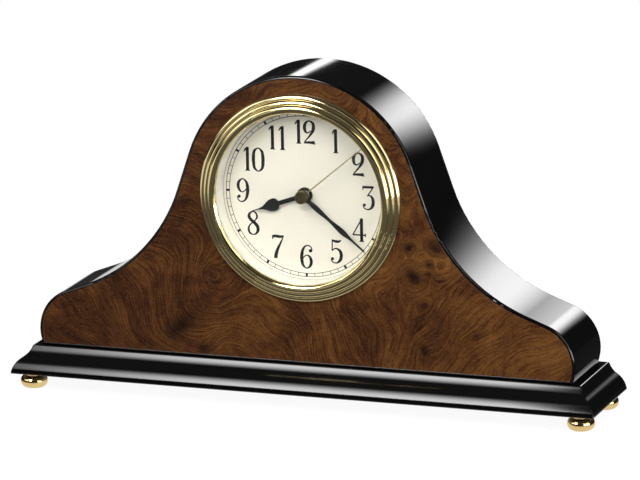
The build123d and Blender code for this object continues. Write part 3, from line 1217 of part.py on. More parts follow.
nut_plane = depth_plane(MINUTE_HAND_DEPTH - HAND_THICKNESS)
keep(ring(nut_plane, HAND_NUT_RADIUS, MINUTE_PIPE_RADIUS + PRESS_GAP, HAND_NUT_HEIGHT), "hand_nut")

# Seconds hand: thin strip held between its tube's flange and the arbor, with a cap in front
with BuildPart() as seconds_hand:
    with BuildSketch(hand_plane(SECONDS_HAND_DEPTH, SECONDS_ANGLE)):
        Circle(SECONDS_RING_RADIUS)
        with BuildLine():
            Polyline(
                (-SECONDS_ROOT_WIDTH / 2, 0),
                (SECONDS_ROOT_WIDTH / 2, 0),
                (SECONDS_TIP_WIDTH / 2, SECONDS_HAND_LENGTH),
                (-SECONDS_TIP_WIDTH / 2, SECONDS_HAND_LENGTH),
                close=True,
            )
        make_face()
        Circle(SECONDS_TUBE_RADIUS + PRESS_GAP, mode=Mode.SUBTRACT)
    extrude(amount=SECONDS_HAND_THICKNESS)
keep(seconds_hand.part, "seconds_hand")

TUBE_BACK = SECONDS_HAND_DEPTH + SECONDS_TUBE_DROP
with BuildPart() as seconds_hub:
    with Locations(depth_plane(TUBE_BACK)):
        Cylinder(SECONDS_TUBE_RADIUS, TUBE_BACK - CAP_BORE_DEPTH - PIVOT_END_GAP, align=SEATED)
    with Locations(depth_plane(FLANGE_DEPTH)):
        Cylinder(SECONDS_FLANGE_RADIUS, SECONDS_FLANGE_THICKNESS, align=SEATED)
    with BuildSketch(depth_plane(TUBE_BACK)):
        Circle(SECONDS_ARBOR_RADIUS + PRESS_GAP)
    extrude(amount=TUBE_BACK - CAP_BORE_DEPTH, mode=Mode.SUBTRACT)
keep(seconds_hub.part, "seconds_hub")

with BuildPart() as seconds_cap:
    with Locations(depth_plane(CAP_DEPTH)):
        Cylinder(SECONDS_CAP_RADIUS, SECONDS_CAP_HEIGHT, align=SEATED)
    fillet(seconds_cap.edges().sort_by(Axis.Y)[0], radius=SECONDS_CAP_ROUND)
    with BuildSketch(depth_plane(CAP_DEPTH)):
        Circle(SECONDS_TUBE_RADIUS + PRESS_GAP)
    extrude(amount=CAP_DEPTH - CAP_BORE_DEPTH, mode=Mode.SUBTRACT)
keep(seconds_cap.part, "seconds_cap")
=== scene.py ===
"""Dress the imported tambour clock: finishes, printed dial, rear markings, studio light and camera."""

import logging
import math
from dataclasses import dataclass, field
from enum import Enum
from typing import Iterable, Sequence

import bmesh
import bpy
from mathutils import Matrix, Vector


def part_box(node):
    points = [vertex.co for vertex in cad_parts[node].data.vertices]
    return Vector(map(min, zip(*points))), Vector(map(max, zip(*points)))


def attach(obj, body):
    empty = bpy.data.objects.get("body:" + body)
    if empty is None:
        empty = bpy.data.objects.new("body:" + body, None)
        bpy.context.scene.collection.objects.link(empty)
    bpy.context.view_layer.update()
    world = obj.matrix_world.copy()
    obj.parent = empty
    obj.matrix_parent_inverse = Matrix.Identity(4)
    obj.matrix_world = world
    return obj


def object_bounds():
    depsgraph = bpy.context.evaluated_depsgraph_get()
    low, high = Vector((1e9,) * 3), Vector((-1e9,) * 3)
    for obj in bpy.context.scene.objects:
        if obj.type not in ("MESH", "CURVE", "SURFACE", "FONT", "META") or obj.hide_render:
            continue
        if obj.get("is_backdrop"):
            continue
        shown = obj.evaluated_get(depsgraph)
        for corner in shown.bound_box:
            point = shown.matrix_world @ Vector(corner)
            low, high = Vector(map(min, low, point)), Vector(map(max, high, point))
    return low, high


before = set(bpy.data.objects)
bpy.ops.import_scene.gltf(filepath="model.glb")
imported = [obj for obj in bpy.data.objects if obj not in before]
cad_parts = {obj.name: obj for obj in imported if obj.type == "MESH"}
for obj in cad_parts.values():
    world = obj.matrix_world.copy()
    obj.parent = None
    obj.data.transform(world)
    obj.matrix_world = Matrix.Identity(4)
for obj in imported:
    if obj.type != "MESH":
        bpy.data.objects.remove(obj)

LOG = logging.getLogger("tambour_clock")
MM = 0.001
FULL_TURN = 2.0 * math.pi
CASE_BODY = "case"

Socket = bpy.types.NodeSocket
Colour = tuple[float, float, float, float]
Point = tuple[float, float]


def grey(level: float) -> Colour:
    """A neutral colour of one level."""
    return (level, level, level, 1.0)


def tinted(colour: Colour, red: float, green: float, blue: float) -> Colour:
    """A colour with its channels multiplied, each up to full."""
    return tuple(min(1.0, channel * factor) for channel, factor in zip(colour, (red, green, blue))) + (1.0,)


def hand_axis() -> tuple[float, ...]:
    """Middle of the dial in millimetres, which the hands turn about."""
    low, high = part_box("dial")
    return tuple(value / MM for value in (low + high) / 2)


class Desk:
    """Builds the nodes of one tree with short calls."""

    def __init__(self, tree: bpy.types.NodeTree) -> None:
        """Start on a tree that is already empty."""
        self.tree = tree

    def add(self, kind: str, **settings: object) -> bpy.types.Node:
        """Add a node and set its own options.

        Args:
            kind: Blender's name for the node.
            **settings: options that the node has as attributes.

        Returns:
            The new node.
        """
        node = self.tree.nodes.new(kind)
        for name, value in settings.items():
            setattr(node, name, value)
        return node

    def feed(self, socket: Socket, value: object) -> None:
        """Link a socket to another, or set its constant.

        Args:
            socket: the input to fill.
            value: an output socket, or a plain value.
        """
        if isinstance(value, bpy.types.NodeSocket):
            self.tree.links.new(value, socket)
        else:
            socket.default_value = value

    def math(self, operation: str, *values: object) -> Socket:
        """Result of a number operation on sockets or constants."""
        node = self.add("ShaderNodeMath", operation=operation)
        for socket, value in zip(node.inputs, values):
            self.feed(socket, value)
        return node.outputs[0]

    def vector(self, operation: str, *values: object) -> Socket:
        """Result of a vector operation on sockets or constants."""
        node = self.add("ShaderNodeVectorMath", operation=operation)
        for socket, value in zip(node.inputs, values):
            self.feed(socket, value)
        single = operation in ("DISTANCE", "LENGTH", "DOT_PRODUCT")
        return node.outputs["Value" if single else "Vector"]

    def scaled(self, value: Socket, share: Socket) -> Socket:
        """A vector multiplied by a number."""
        node = self.add("ShaderNodeVectorMath", operation="SCALE")
        self.feed(node.inputs[0], value)
        self.feed(node.inputs["Scale"], share)
        return node.outputs[0]

    def split(self, value: Socket) -> tuple[Socket, ...]:
        """The three parts of a vector."""
        node = self.add("ShaderNodeSeparateXYZ")
        self.feed(node.inputs[0], value)
        return tuple(node.outputs)

    def place(self, centre: Sequence[float] = (0, 0, 0), stretch: Sequence[float] = (1, 1, 1),
              turn: float = 0.0) -> Socket:
        """Object coordinates in millimetres about a centre.

        Args:
            centre: the point in the frame, in millimetres, that becomes zero.
            stretch: how much each axis is multiplied after that.
            turn: angle about the Y axis, in radians.

        Returns:
            The vector output.
        """
        coordinates = self.add("ShaderNodeTexCoord")
        scaled = self.add("ShaderNodeMapping")
        self.feed(scaled.inputs["Vector"], coordinates.outputs["Object"])
        scaled.inputs["Scale"].default_value = (1 / MM,) * 3
        scaled.inputs["Location"].default_value = tuple(-value for value in centre)
        turned = self.add("ShaderNodeMapping")
        self.feed(turned.inputs["Vector"], scaled.outputs["Vector"])
        turned.inputs["Rotation"].default_value = (0.0, turn, 0.0)
        turned.inputs["Scale"].default_value = tuple(stretch)
        return turned.outputs["Vector"]

    def noise(self, place: Socket, feature: float, detail: float = 2.0, rough: float = 0.5,
              swirl: float = 0.0) -> bpy.types.Node:
        """Noise whose features are about a given size.

        Args:
            place: coordinates in millimetres.
            feature: size of the largest features in millimetres.
            detail: number of finer layers.
            rough: strength of the finer layers.
            swirl: amount of distortion.

        Returns:
            The noise node.
        """
        node = self.add("ShaderNodeTexNoise")
        self.feed(node.inputs["Vector"], place)
        node.inputs["Scale"].default_value = 1.0 / feature
        node.inputs["Detail"].default_value = detail
        node.inputs["Roughness"].default_value = rough
        node.inputs["Distortion"].default_value = swirl
        return node

    def span(self, value: Socket, low: float, high: float, start: float = 0.0, end: float = 1.0,
             way: str = "LINEAR") -> Socket:
        """A value brought from one range to another, held at its ends."""
        node = self.add("ShaderNodeMapRange", interpolation_type=way)
        for name, number in (("From Min", low), ("From Max", high), ("To Min", start), ("To Max", end)):
            node.inputs[name].default_value = number
        self.feed(node.inputs["Value"], value)
        return node.outputs["Result"]

    def ramp(self, value: Socket, stops: Sequence[tuple[float, Colour]], way: str = "LINEAR") -> Socket:
        """Colour looked up along stops.

        Args:
            value: where on the ramp to look.
            stops: positions from 0 to 1 with their colours.
            way: Blender's name for how it goes from one stop to the next.

        Returns:
            The colour output.
        """
        node = self.add("ShaderNodeValToRGB")
        node.color_ramp.interpolation = way
        elements = node.color_ramp.elements
        while len(elements) < len(stops):
            elements.new(1.0)
        for element, (position, colour) in zip(elements, stops):
            element.position = position
            element.color = colour
        self.feed(node.inputs["Fac"], value)
        return node.outputs["Color"]

    def mix(self, share: object, first: object, second: object, blend: str = "MIX") -> Socket:
        """Two colours mixed by a share.

        Args:
            share: socket or number from 0 to 1.
            first: colour at 0.
            second: colour at 1.
            blend: Blender's name for the way of mixing.

        Returns:
            The colour output.
        """
        node = self.add("ShaderNodeMix", data_type="RGBA", blend_type=blend)
        inputs = {socket.identifier: socket for socket in node.inputs}
        self.feed(inputs["Factor_Float"], share)
        self.feed(inputs["A_Color"], first)
        self.feed(inputs["B_Color"], second)
        return next(socket for socket in node.outputs if socket.identifier == "Result_Color")

    def mix_value(self, share: Socket, first: float, second: Socket) -> Socket:
        """Number that goes from the first value to the second as the share goes from 0 to 1."""
        return self.math("MULTIPLY_ADD", share, self.math("SUBTRACT", second, first), first)

    def bump(self, height: Socket, strength: float, depth: float) -> Socket:
        """Normal bent by a height, with its depth in metres."""
        node = self.add("ShaderNodeBump")
        node.inputs["Strength"].default_value = strength
        node.inputs["Distance"].default_value = depth
        self.feed(node.inputs["Height"], height)
        return node.outputs["Normal"]


@dataclass(frozen=True)
class Finish:
    """A finish with a name; its kinds say how its nodes are made."""

    name: str

    def make(self) -> bpy.types.Material:
        """Build the material.

        Returns:
            The finished material, with a Principled shader at its end.
        """
        material = bpy.data.materials.new(self.name)
        material.use_nodes = True
        tree = material.node_tree
        tree.nodes.clear()
        desk = Desk(tree)
        shader = desk.add("ShaderNodeBsdfPrincipled")
        output = desk.add("ShaderNodeOutputMaterial")
        tree.links.new(shader.outputs["BSDF"], output.inputs["Surface"])
        self.coat(desk, shader)
        return material

    def coat(self, desk: Desk, shader: bpy.types.Node) -> None:
        """Fill the shader's sockets; each kind of finish has its own way."""
        raise NotImplementedError


@dataclass(frozen=True)
class BlackLacquer(Finish):
    """Deep black lacquer, rubbed to a high gloss.

    Attributes:
        body: how pale its black is.
        gloss: roughness where it is best rubbed.
        haze: how much rougher it is where polish is left.
        index: its refractive index.
        edge: radius that its edges are eased to, in millimetres.
        peel_depth: depth of its orange peel, in metres.
    """

    body: float = 0.0010
    gloss: float = 0.045
    haze: float = 0.04
    index: float = 1.45
    edge: float = 0.45
    peel_depth: float = 0.00004

    def coat(self, desk: Desk, shader: bpy.types.Node) -> None:
        """Black with a trace of warm cloud, faint polishing haze, a slight orange peel and eased edges."""
        place = desk.place()
        cloud = desk.noise(place, 42.0, 3.0).outputs["Fac"]
        black = grey(self.body)
        tone = desk.ramp(cloud, [(0.3, black), (0.75, tinted(black, 1.7, 1.5, 1.4))])
        haze = desk.noise(place, 17.0, 5.0, 0.65).outputs["Fac"]
        peel = desk.noise(place, 3.2, 1.0).outputs["Fac"]
        desk.feed(shader.inputs["Base Color"], tone)
        desk.feed(shader.inputs["Roughness"], desk.span(haze, 0.35, 0.8, self.gloss, self.gloss + self.haze))
        skin = desk.bump(peel, 0.05, self.peel_depth)
        desk.feed(skin.node.inputs["Normal"], self._ground(desk))
        desk.feed(shader.inputs["Normal"], skin)
        shader.inputs["IOR"].default_value = self.index

    def _ground(self, desk: Desk) -> Socket:
        """Normal of the wood below, with its edges eased."""
        eased = desk.add("ShaderNodeBevel", samples=8)
        eased.inputs["Radius"].default_value = self.edge * MM
        return eased.outputs[0]


@dataclass(frozen=True)
class CaseLacquer(BlackLacquer):
    """Lacquer of the case, whose gloss follows the true curve of the tambour outline.

    Attributes:
        bends: distance from the middle in millimetres, and sideways part of the outline's normal there.
        tuck_height: height in millimetres below which the shoulder turns under.
        bore_reach: distances from the hand axis in millimetres, at the bore's wall and clear of it.
        face_lean: sideways parts of a face's normal, on the rim and past its eased edge.
    """

    bends: tuple[Point, ...] = (
        (0.0, 0.0), (53.662, 0.9447), (60.021, 0.9447),
        (106.719, 0.3536), (117.008, 0.3536), (130.0, 1.0),
    )
    tuck_height: float = 27.6
    bore_reach: Point = (48.0, 50.0)
    face_lean: Point = (0.01, 0.06)

    def _ground(self, desk: Desk) -> Socket:
        """Normal of the outline's arcs and straight runs on the case's rim, and the eased one elsewhere."""
        eased = super()._ground(desk)
        across, _, up = desk.split(desk.place())
        aside = desk.math("ABSOLUTE", across)
        lean: Socket | float = 0.0
        for (start, low), (end, high) in zip(self.bends, self.bends[1:]):
            if low != high:
                lean = desk.math("ADD", lean, desk.span(aside, start, end, 0.0, high - low))
        rest = desk.math("SUBTRACT", 1.0, desk.math("MULTIPLY", lean, lean))
        level = desk.math("SQRT", desk.math("MAXIMUM", rest, 0.0))
        above = desk.math("SIGN", desk.math("SUBTRACT", up, self.tuck_height))
        curve = desk.add("ShaderNodeCombineXYZ")
        desk.feed(curve.inputs["X"], desk.math("MULTIPLY", lean, desk.math("SIGN", across)))
        desk.feed(curve.inputs["Z"], desk.math("MULTIPLY", level, above))
        facing = desk.math("ABSOLUTE", desk.split(eased)[1])
        rim = desk.span(facing, *self.face_lean, 1.0, 0.0)
        reach = desk.vector("LENGTH", desk.place(hand_axis(), (1, 0, 1)))
        rim = desk.math("MULTIPLY", rim, desk.span(reach, *self.bore_reach))
        turn = desk.scaled(desk.vector("SUBTRACT", curve.outputs[0], eased), rim)
        return desk.vector("NORMALIZE", desk.vector("ADD", eased, turn))


@dataclass(frozen=True)
class Eye:
    """A knot in the burl that the figure runs round.

    Attributes:
        across: place to the right of the middle, in millimetres.
        up: place above the surface it stands on, in millimetres.
        reach: size of the rings round it, in millimetres.
        pull: how far it pushes the grain lines aside, in millimetres.
        dark: how dark its heart is, from 0 to 1.
        heart: size of the dark heart, in millimetres.
        slant: angle that its long axis rises to the right, in degrees.
        stretch: how much longer it is along that axis.
    """

    across: float
    up: float
    reach: float
    pull: float
    dark: float
    heart: float
    slant: float = 0.0
    stretch: float = 1.0


BURL_EYES = (
    Eye(51.7, 78.5, 4.5, 4.0, 0.99, 2.9, 20.0, 1.2),
    Eye(64.6, 79.0, 5.0, 5.0, 0.94, 3.4, -35.0, 1.3),
    Eye(61.5, 71.1, 3.0, 2.6, 0.88, 1.9),
    Eye(53.6, 65.5, 6.0, 6.0, 1.00, 3.6, -40.0, 1.3),
    Eye(61.0, 66.6, 2.6, 2.2, 0.77, 1.8),
    Eye(47.5, 63.5, 2.4, 1.8, 0.50, 1.6),
    Eye(58.5, 30.7, 7.0, 5.0, 0.88, 2.4, -60.0, 1.4),
    Eye(-59.8, 34.0, 17.0, 21.0, 0.94, 4.2, 40.0, 2.3),
    Eye(-48.0, 23.5, 9.0, 9.0, 0.72, 3.5, 0.0, 1.2),
    Eye(-45.6, 60.0, 5.0, 3.0, 0.50, 2.5),
    Eye(-66.0, 104.0, 5.0, 3.0, 0.61, 3.0, 30.0, 1.3),
    Eye(-101.0, 33.0, 15.0, 8.0, 0.28, 5.0, 20.0, 1.8),
    Eye(-30.0, 141.0, 8.0, 5.0, 0.33, 3.8, 30.0, 1.5),
    Eye(24.0, 146.0, 9.0, 6.0, 0.28, 3.8, -30.0, 1.4),
)


@dataclass(frozen=True)
class BurlVeneer(Finish):
    """Walnut burl under clear lacquer.

    Attributes:
        shade: colours from the darkest streak to the palest.
        stops: tones at which those colours stand.
        heart: colour of an eye's heart.
        streak: distance between grain streaks, in millimetres.
        run: length of a streak, in millimetres.
        hair: distance between the finest pores, in millimetres.
        hair_run: length of a pore, in millimetres.
        slope: how steeply the grain lines cross the sheet, to the right and up.
        turn: how the grain's slope changes from left to right, per millimetre.
        drift: size of the broad bends in the grain, and how far they carry it, in millimetres.
        ripple: size of the small bends, and how far they carry it, in millimetres.
        ragged: how far the outline of a heart strays, in millimetres.
        index: refractive index of its lacquer.
    """

    shade: tuple[Colour, ...] = (
        (0.0150, 0.0050, 0.0022, 1),
        (0.0390, 0.0135, 0.0048, 1),
        (0.0800, 0.0305, 0.0086, 1),
        (0.1400, 0.0610, 0.0160, 1),
    )
    stops: tuple[float, ...] = (0.26, 0.42, 0.56, 0.76)
    heart: Colour = (0.0085, 0.0034, 0.0018, 1)
    streak: float = 0.55
    run: float = 30.0
    hair: float = 0.27
    hair_run: float = 9.0
    slope: Point = (0.70, 0.21)
    turn: float = -0.0062
    drift: Point = (46.0, 30.0)
    ripple: Point = (9.0, 1.8)
    ragged: float = 1.7
    index: float = 1.36

    def coat(self, desk: Desk, shader: bpy.types.Node) -> None:
        """Streaks that flow round the eyes, broad cloudy tone, pores and flecks under gloss."""
        flat = desk.place(stretch=(1, 0, 1))
        grain = self._grain(desk, flat)
        across = desk.split(flat)[0]
        lines = self._lines(desk, grain, flat, self.streak, self.run)
        hairs = self._lines(desk, grain, flat, self.hair, self.hair_run)
        cloud = desk.noise(flat, 26.0, 4.0, 0.55, 0.6).outputs["Fac"]
        tone = desk.span(cloud, 0.0, 1.0, 0.17, 0.81)
        layers = (
            (desk.noise(lines, 1.0, 2.0, 0.55), 0.44),
            (desk.noise(lines, 6.5, 2.0, 0.5), 0.22),
            (desk.noise(hairs, 1.0, 1.0, 0.5), 0.46),
            (desk.noise(flat, 3.4, 3.0, 0.65), 0.30),
            (desk.noise(flat, 0.5, 2.0, 0.6), 0.28),
        )
        for layer, weight in layers:
            swing = desk.math("SUBTRACT", layer.outputs["Fac"], 0.5)
            tone = desk.math("MULTIPLY_ADD", swing, weight, tone)
        # The tone drifts a little darker towards the left of the sheet.
        tone = desk.math("ADD", tone, desk.span(across, -110.0, 70.0, -0.05, 0.04))
        wood = desk.ramp(tone, list(zip(self.stops, self.shade)))
        pore = desk.noise(desk.place(stretch=(1.0, 0, 0.45), turn=0.5), 0.62, 3.0, 0.7).outputs["Fac"]
        wood = desk.mix(desk.span(pore, 0.34, 0.58, 0.45, 0.0), wood, self.shade[0])
        fleck = desk.noise(flat, 0.95, 2.0, 0.6).outputs["Fac"]
        wood = desk.mix(desk.span(fleck, 0.56, 0.76, 0.0, 0.40), wood, self.shade[3])
        wood = desk.mix(self._hearts(desk, flat), wood, self.heart)
        desk.feed(shader.inputs["Base Color"], wood)
        desk.feed(shader.inputs["Roughness"], desk.span(cloud, 0.3, 0.7, 0.16, 0.24))
        shader.inputs["IOR"].default_value = self.index

    def _lines(self, desk: Desk, grain: Socket, flat: Socket, pitch: float, run: float) -> Socket:
        """Place among the grain lines, squeezed across them and drawn out along the sheet.

        Args:
            desk: the tree's desk.
            grain: distance across the grain lines in millimetres.
            flat: place on the sheet in millimetres.
            pitch: distance between lines in millimetres.
            run: length of a line in millimetres.

        Returns:
            The place, for a noise of size 1.
        """
        across, _, up = desk.split(flat)
        place = desk.add("ShaderNodeCombineXYZ")
        for axis, value, size in (("X", grain, pitch), ("Y", across, run), ("Z", up, run)):
            desk.feed(place.inputs[axis], desk.math("MULTIPLY", value, 1 / size))
        return place.outputs[0]

    def _grain(self, desk: Desk, flat: Socket) -> Socket:
        """Distance across the grain lines, bent by drift, ripple and the eyes.

        Args:
            desk: the tree's desk.
            flat: place on the sheet in millimetres.

        Returns:
            The distance in millimetres.
        """
        across, _, up = desk.split(flat)
        steep = desk.math("MULTIPLY_ADD", across, self.turn, self.slope[1])
        grain = desk.math("MULTIPLY_ADD", across, self.slope[0], desk.math("MULTIPLY", up, steep))
        for size, carry in (self.drift, self.ripple):
            bend = desk.noise(flat, size, 1.0, 0.5).outputs["Fac"]
            grain = desk.math("MULTIPLY_ADD", bend, carry, grain)
        for eye in BURL_EYES:
            hill = self._hill(desk, flat, eye, eye.reach)
            grain = desk.math("MULTIPLY_ADD", hill, eye.pull, grain)
        return grain

    def _hearts(self, desk: Desk, flat: Socket) -> Socket:
        """Darkness of the eyes' ragged hearts, from 0 to 1."""
        ragged = desk.noise(flat, 2.6, 3.0, 0.6).outputs["Color"]
        stray = self.ragged
        corner = desk.vector("ADD", flat, (-stray, 0, -stray))
        near = desk.vector("MULTIPLY_ADD", ragged, (2 * stray, 0, 2 * stray), corner)
        dark: Socket | None = None
        for eye in BURL_EYES:
            core = desk.math("MULTIPLY", self._hill(desk, near, eye, eye.heart), eye.dark)
            dark = core if dark is None else desk.math("MAXIMUM", dark, core)
        return dark

    def _hill(self, desk: Desk, place: Socket, eye: Eye, reach: float) -> Socket:
        """Smooth hill of height 1 over an eye.

        Args:
            desk: the tree's desk.
            place: place on the sheet in millimetres.
            eye: the eye that it stands on.
            reach: its size in millimetres.

        Returns:
            The height.
        """
        turned = desk.add("ShaderNodeMapping", vector_type="TEXTURE")
        turned.inputs["Location"].default_value = (eye.across, 0.0, eye.up)
        turned.inputs["Rotation"].default_value = (0.0, -math.radians(eye.slant), 0.0)
        turned.inputs["Scale"].default_value = (reach * eye.stretch, 1.0, reach)
        desk.feed(turned.inputs["Vector"], place)
        away = desk.vector("LENGTH", turned.outputs[0])
        return desk.math("POWER", math.e, desk.math("MULTIPLY", desk.math("POWER", away, 2.0), -1.0))


class MetalTone(Enum):
    """Colours of the clock's metals."""

    BRASS = (0.85, 0.70, 0.35, 1)
    FOOT = (0.84, 0.61, 0.26, 1)
    GILT = (0.34, 0.28, 0.10, 1)
    # Polished brass of the seconds cap, its colour darkened as a painted dark reflection of the room.
    BRONZE = (0.050, 0.038, 0.016, 1)
    STEEL = (0.60, 0.60, 0.61, 1)
    COPPER = (0.80, 0.36, 0.16, 1)
    MAGNET = (0.16, 0.16, 0.17, 1)


@dataclass(frozen=True)
class TurnedMetal(Finish):
    """Metal turned and polished about an upright or a level axis.

    Attributes:
        tone: which metal.
        gloss: roughness where it is cleanest.
        tarnish: how much darker its stains are.
        line_pitch: distance between turning lines in millimetres.
        line_strength: depth of the turning lines, from 0 to 1.
        wear: how much rougher it is where it is scratched.
    """

    tone: MetalTone = MetalTone.BRASS
    gloss: float = 0.10
    tarnish: float = 0.12
    line_pitch: float = 0.35
    line_strength: float = 0.04
    wear: float = 0.05

    def coat(self, desk: Desk, shader: bpy.types.Node) -> None:
        """Metal with faint stains, worn gloss and fine turning lines round the hand axis."""
        place = desk.place()
        stain = desk.noise(place, 9.0, 4.0, 0.6).outputs["Fac"]
        tone = self.tone.value
        dull = tinted(tone, *(1 - self.tarnish,) * 3)
        radius = desk.vector("LENGTH", desk.place(hand_axis(), (1, 0, 1)))
        lines = desk.math("SINE", desk.math("MULTIPLY", radius, FULL_TURN / self.line_pitch))
        scratch = desk.noise(desk.place(stretch=(1, 1, 0.15)), 0.6, 2.0).outputs["Fac"]
        shader.inputs["Metallic"].default_value = 1.0
        desk.feed(shader.inputs["Base Color"], desk.mix(desk.span(stain, 0.4, 0.7), tone, dull))
        worn = desk.span(scratch, 0.35, 0.75, self.gloss, self.gloss + self.wear)
        desk.feed(shader.inputs["Roughness"], worn)
        desk.feed(shader.inputs["Normal"], desk.bump(lines, self.line_strength, 0.00003))


class PlasticTone(Enum):
    """Colours of the clock's plastics, rubber and board."""

    BLACK = (0.014, 0.014, 0.015, 1)
    WHITE = (0.76, 0.75, 0.71, 1)
    CREAM = (0.86, 0.83, 0.73, 1)
    RUBBER = (0.018, 0.017, 0.016, 1)
    BOARD = (0.018, 0.11, 0.045, 1)


@dataclass(frozen=True)
class MouldedPlastic(Finish):
    """Moulded plastic with a fine spark-eroded skin.

    Attributes:
        tone: which plastic.
        rough: its mean roughness.
        skin: depth of its texture, from 0 to 1.
    """

    tone: PlasticTone = PlasticTone.BLACK
    rough: float = 0.42
    skin: float = 0.25

    def coat(self, desk: Desk, shader: bpy.types.Node) -> None:
        """Slightly uneven colour, grainy skin and a roughness that follows it."""
        place = desk.place()
        flow = desk.noise(place, 14.0, 3.0).outputs["Fac"]
        grain = desk.noise(place, 0.28, 2.0, 0.6).outputs["Fac"]
        tone = self.tone.value
        pale = tinted(tone, 1.12, 1.12, 1.12)
        desk.feed(shader.inputs["Base Color"], desk.mix(desk.span(flow, 0.3, 0.7), tone, pale))
        rough = desk.span(grain, 0.3, 0.7, self.rough - 0.06, self.rough + 0.08)
        desk.feed(shader.inputs["Roughness"], rough)
        desk.feed(shader.inputs["Normal"], desk.bump(grain, self.skin, 0.00003))


@dataclass(frozen=True)
class ClearGlass(Finish):
    """Flat clear glass with a thin anti-glare film."""

    index: float = 1.22

    def coat(self, desk: Desk, shader: bpy.types.Node) -> None:
        """Clear, with the slightest haze where a cloth has passed."""
        smear = desk.noise(desk.place(stretch=(0.3, 1, 1), turn=0.5), 12.0, 3.0).outputs["Fac"]
        shader.inputs["Transmission Weight"].default_value = 1.0
        shader.inputs["IOR"].default_value = self.index
        shader.inputs["Base Color"].default_value = (0.995, 1.0, 0.998, 1)
        desk.feed(shader.inputs["Roughness"], desk.span(smear, 0.55, 0.9, 0.0, 0.012))


@dataclass(frozen=True)
class CreamDial(Finish):
    """Cream printed dial card."""

    cream: Colour = (0.93, 0.88, 0.74, 1)
    warm: Colour = (0.91, 0.85, 0.69, 1)

    def coat(self, desk: Desk, shader: bpy.types.Node) -> None:
        """Cream ink over fine card, a little warmer in soft patches."""
        place = desk.place()
        patch = desk.noise(place, 30.0, 3.0).outputs["Fac"]
        tooth = desk.noise(place, 0.35, 3.0, 0.6).outputs["Fac"]
        card = desk.mix(desk.span(patch, 0.35, 0.75, 0.0, 0.3), self.cream, self.warm)
        desk.feed(shader.inputs["Base Color"], card)
        desk.feed(shader.inputs["Roughness"], desk.span(tooth, 0.3, 0.7, 0.5, 0.62))
        desk.feed(shader.inputs["Normal"], desk.bump(tooth, 0.08, 0.00002))


@dataclass(frozen=True)
class BlackPaint(Finish):
    """Black paint or ink, satin, finely mottled.

    Attributes:
        body: how pale its black is.
        rough: roughness where it is smoothest.
        sheen: strength of its reflection.
    """

    body: float = 0.006
    rough: float = 0.34
    sheen: float = 0.12

    def coat(self, desk: Desk, shader: bpy.types.Node) -> None:
        """Almost even black with a fine mottle in tone and gloss."""
        place = desk.place()
        mottle = desk.noise(place, 1.6, 3.0, 0.6).outputs["Fac"]
        black = grey(self.body)
        tone = desk.ramp(mottle, [(0.3, black), (0.8, tinted(black, 2.2, 2.0, 1.8))])
        desk.feed(shader.inputs["Base Color"], tone)
        desk.feed(shader.inputs["Roughness"], desk.span(mottle, 0.3, 0.7, self.rough, self.rough + 0.1))
        shader.inputs["Specular IOR Level"].default_value = self.sheen


@dataclass(frozen=True)
class CellSleeve(Finish):
    """Printed sleeve of a dry cell: black with a copper-coloured end."""

    black: Colour = (0.012, 0.012, 0.013, 1)
    copper: Colour = (0.52, 0.22, 0.075, 1)
    steel: Colour = (0.55, 0.55, 0.56, 1)

    def coat(self, desk: Desk, shader: bpy.types.Node) -> None:
        """Two printed bands along the cell, bare steel at its ends, and light scuffs."""
        low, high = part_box("battery")
        run = desk.span(desk.split(desk.place())[0], low.x / MM, high.x / MM)
        stops = [(0.0, self.steel), (0.012, self.black), (0.70, self.copper), (0.972, self.steel)]
        bands = desk.ramp(run, stops, "CONSTANT")
        scuff = desk.noise(desk.place(stretch=(0.2, 1, 1)), 2.0, 4.0, 0.7).outputs["Fac"]
        worn = desk.mix(desk.span(scuff, 0.58, 0.8, 0.0, 0.35), bands, grey(0.35))
        desk.feed(shader.inputs["Base Color"], worn)
        desk.feed(shader.inputs["Roughness"], desk.span(scuff, 0.35, 0.7, 0.22, 0.42))
        shader.inputs["Metallic"].default_value = 0.6


@dataclass(frozen=True)
class WoundWire(Finish):
    """Enamelled copper wire wound in close turns.

    Attributes:
        pitch: distance between turns, in millimetres.
        shadow: colour between two turns.
    """

    pitch: float = 0.18
    shadow: Colour = (0.32, 0.10, 0.035, 1)

    def coat(self, desk: Desk, shader: bpy.types.Node) -> None:
        """Copper whose height and shade repeat at each turn of wire."""
        along = desk.split(desk.place())[0]
        turns = desk.math("SINE", desk.math("MULTIPLY", along, FULL_TURN / self.pitch))
        shade = desk.span(turns, -1.0, 1.0)
        desk.feed(shader.inputs["Base Color"], desk.mix(shade, self.shadow, MetalTone.COPPER.value))
        desk.feed(shader.inputs["Normal"], desk.bump(turns, 0.6, 0.00006))
        shader.inputs["Metallic"].default_value = 0.9
        shader.inputs["Roughness"].default_value = 0.3


def new_piece(name: str, mesh: bpy.types.Mesh, material: bpy.types.Material, body: str) -> bpy.types.Object:
    """Put a mesh into the scene as a piece that rides on a body.

    Args:
        name: the piece's name.
        mesh: its mesh, already in its place in the frame.
        material: its finish.
        body: the CAD body that it moves with.

    Returns:
        The new object.
    """
    mesh.name = name
    if not mesh.materials:
        mesh.materials.append(material)
    piece = bpy.data.objects.new(name, mesh)
    bpy.context.scene.collection.objects.link(piece)
    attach(piece, body)
    LOG.info("piece %s: %d faces on %s", name, len(mesh.polygons), body)
    return piece


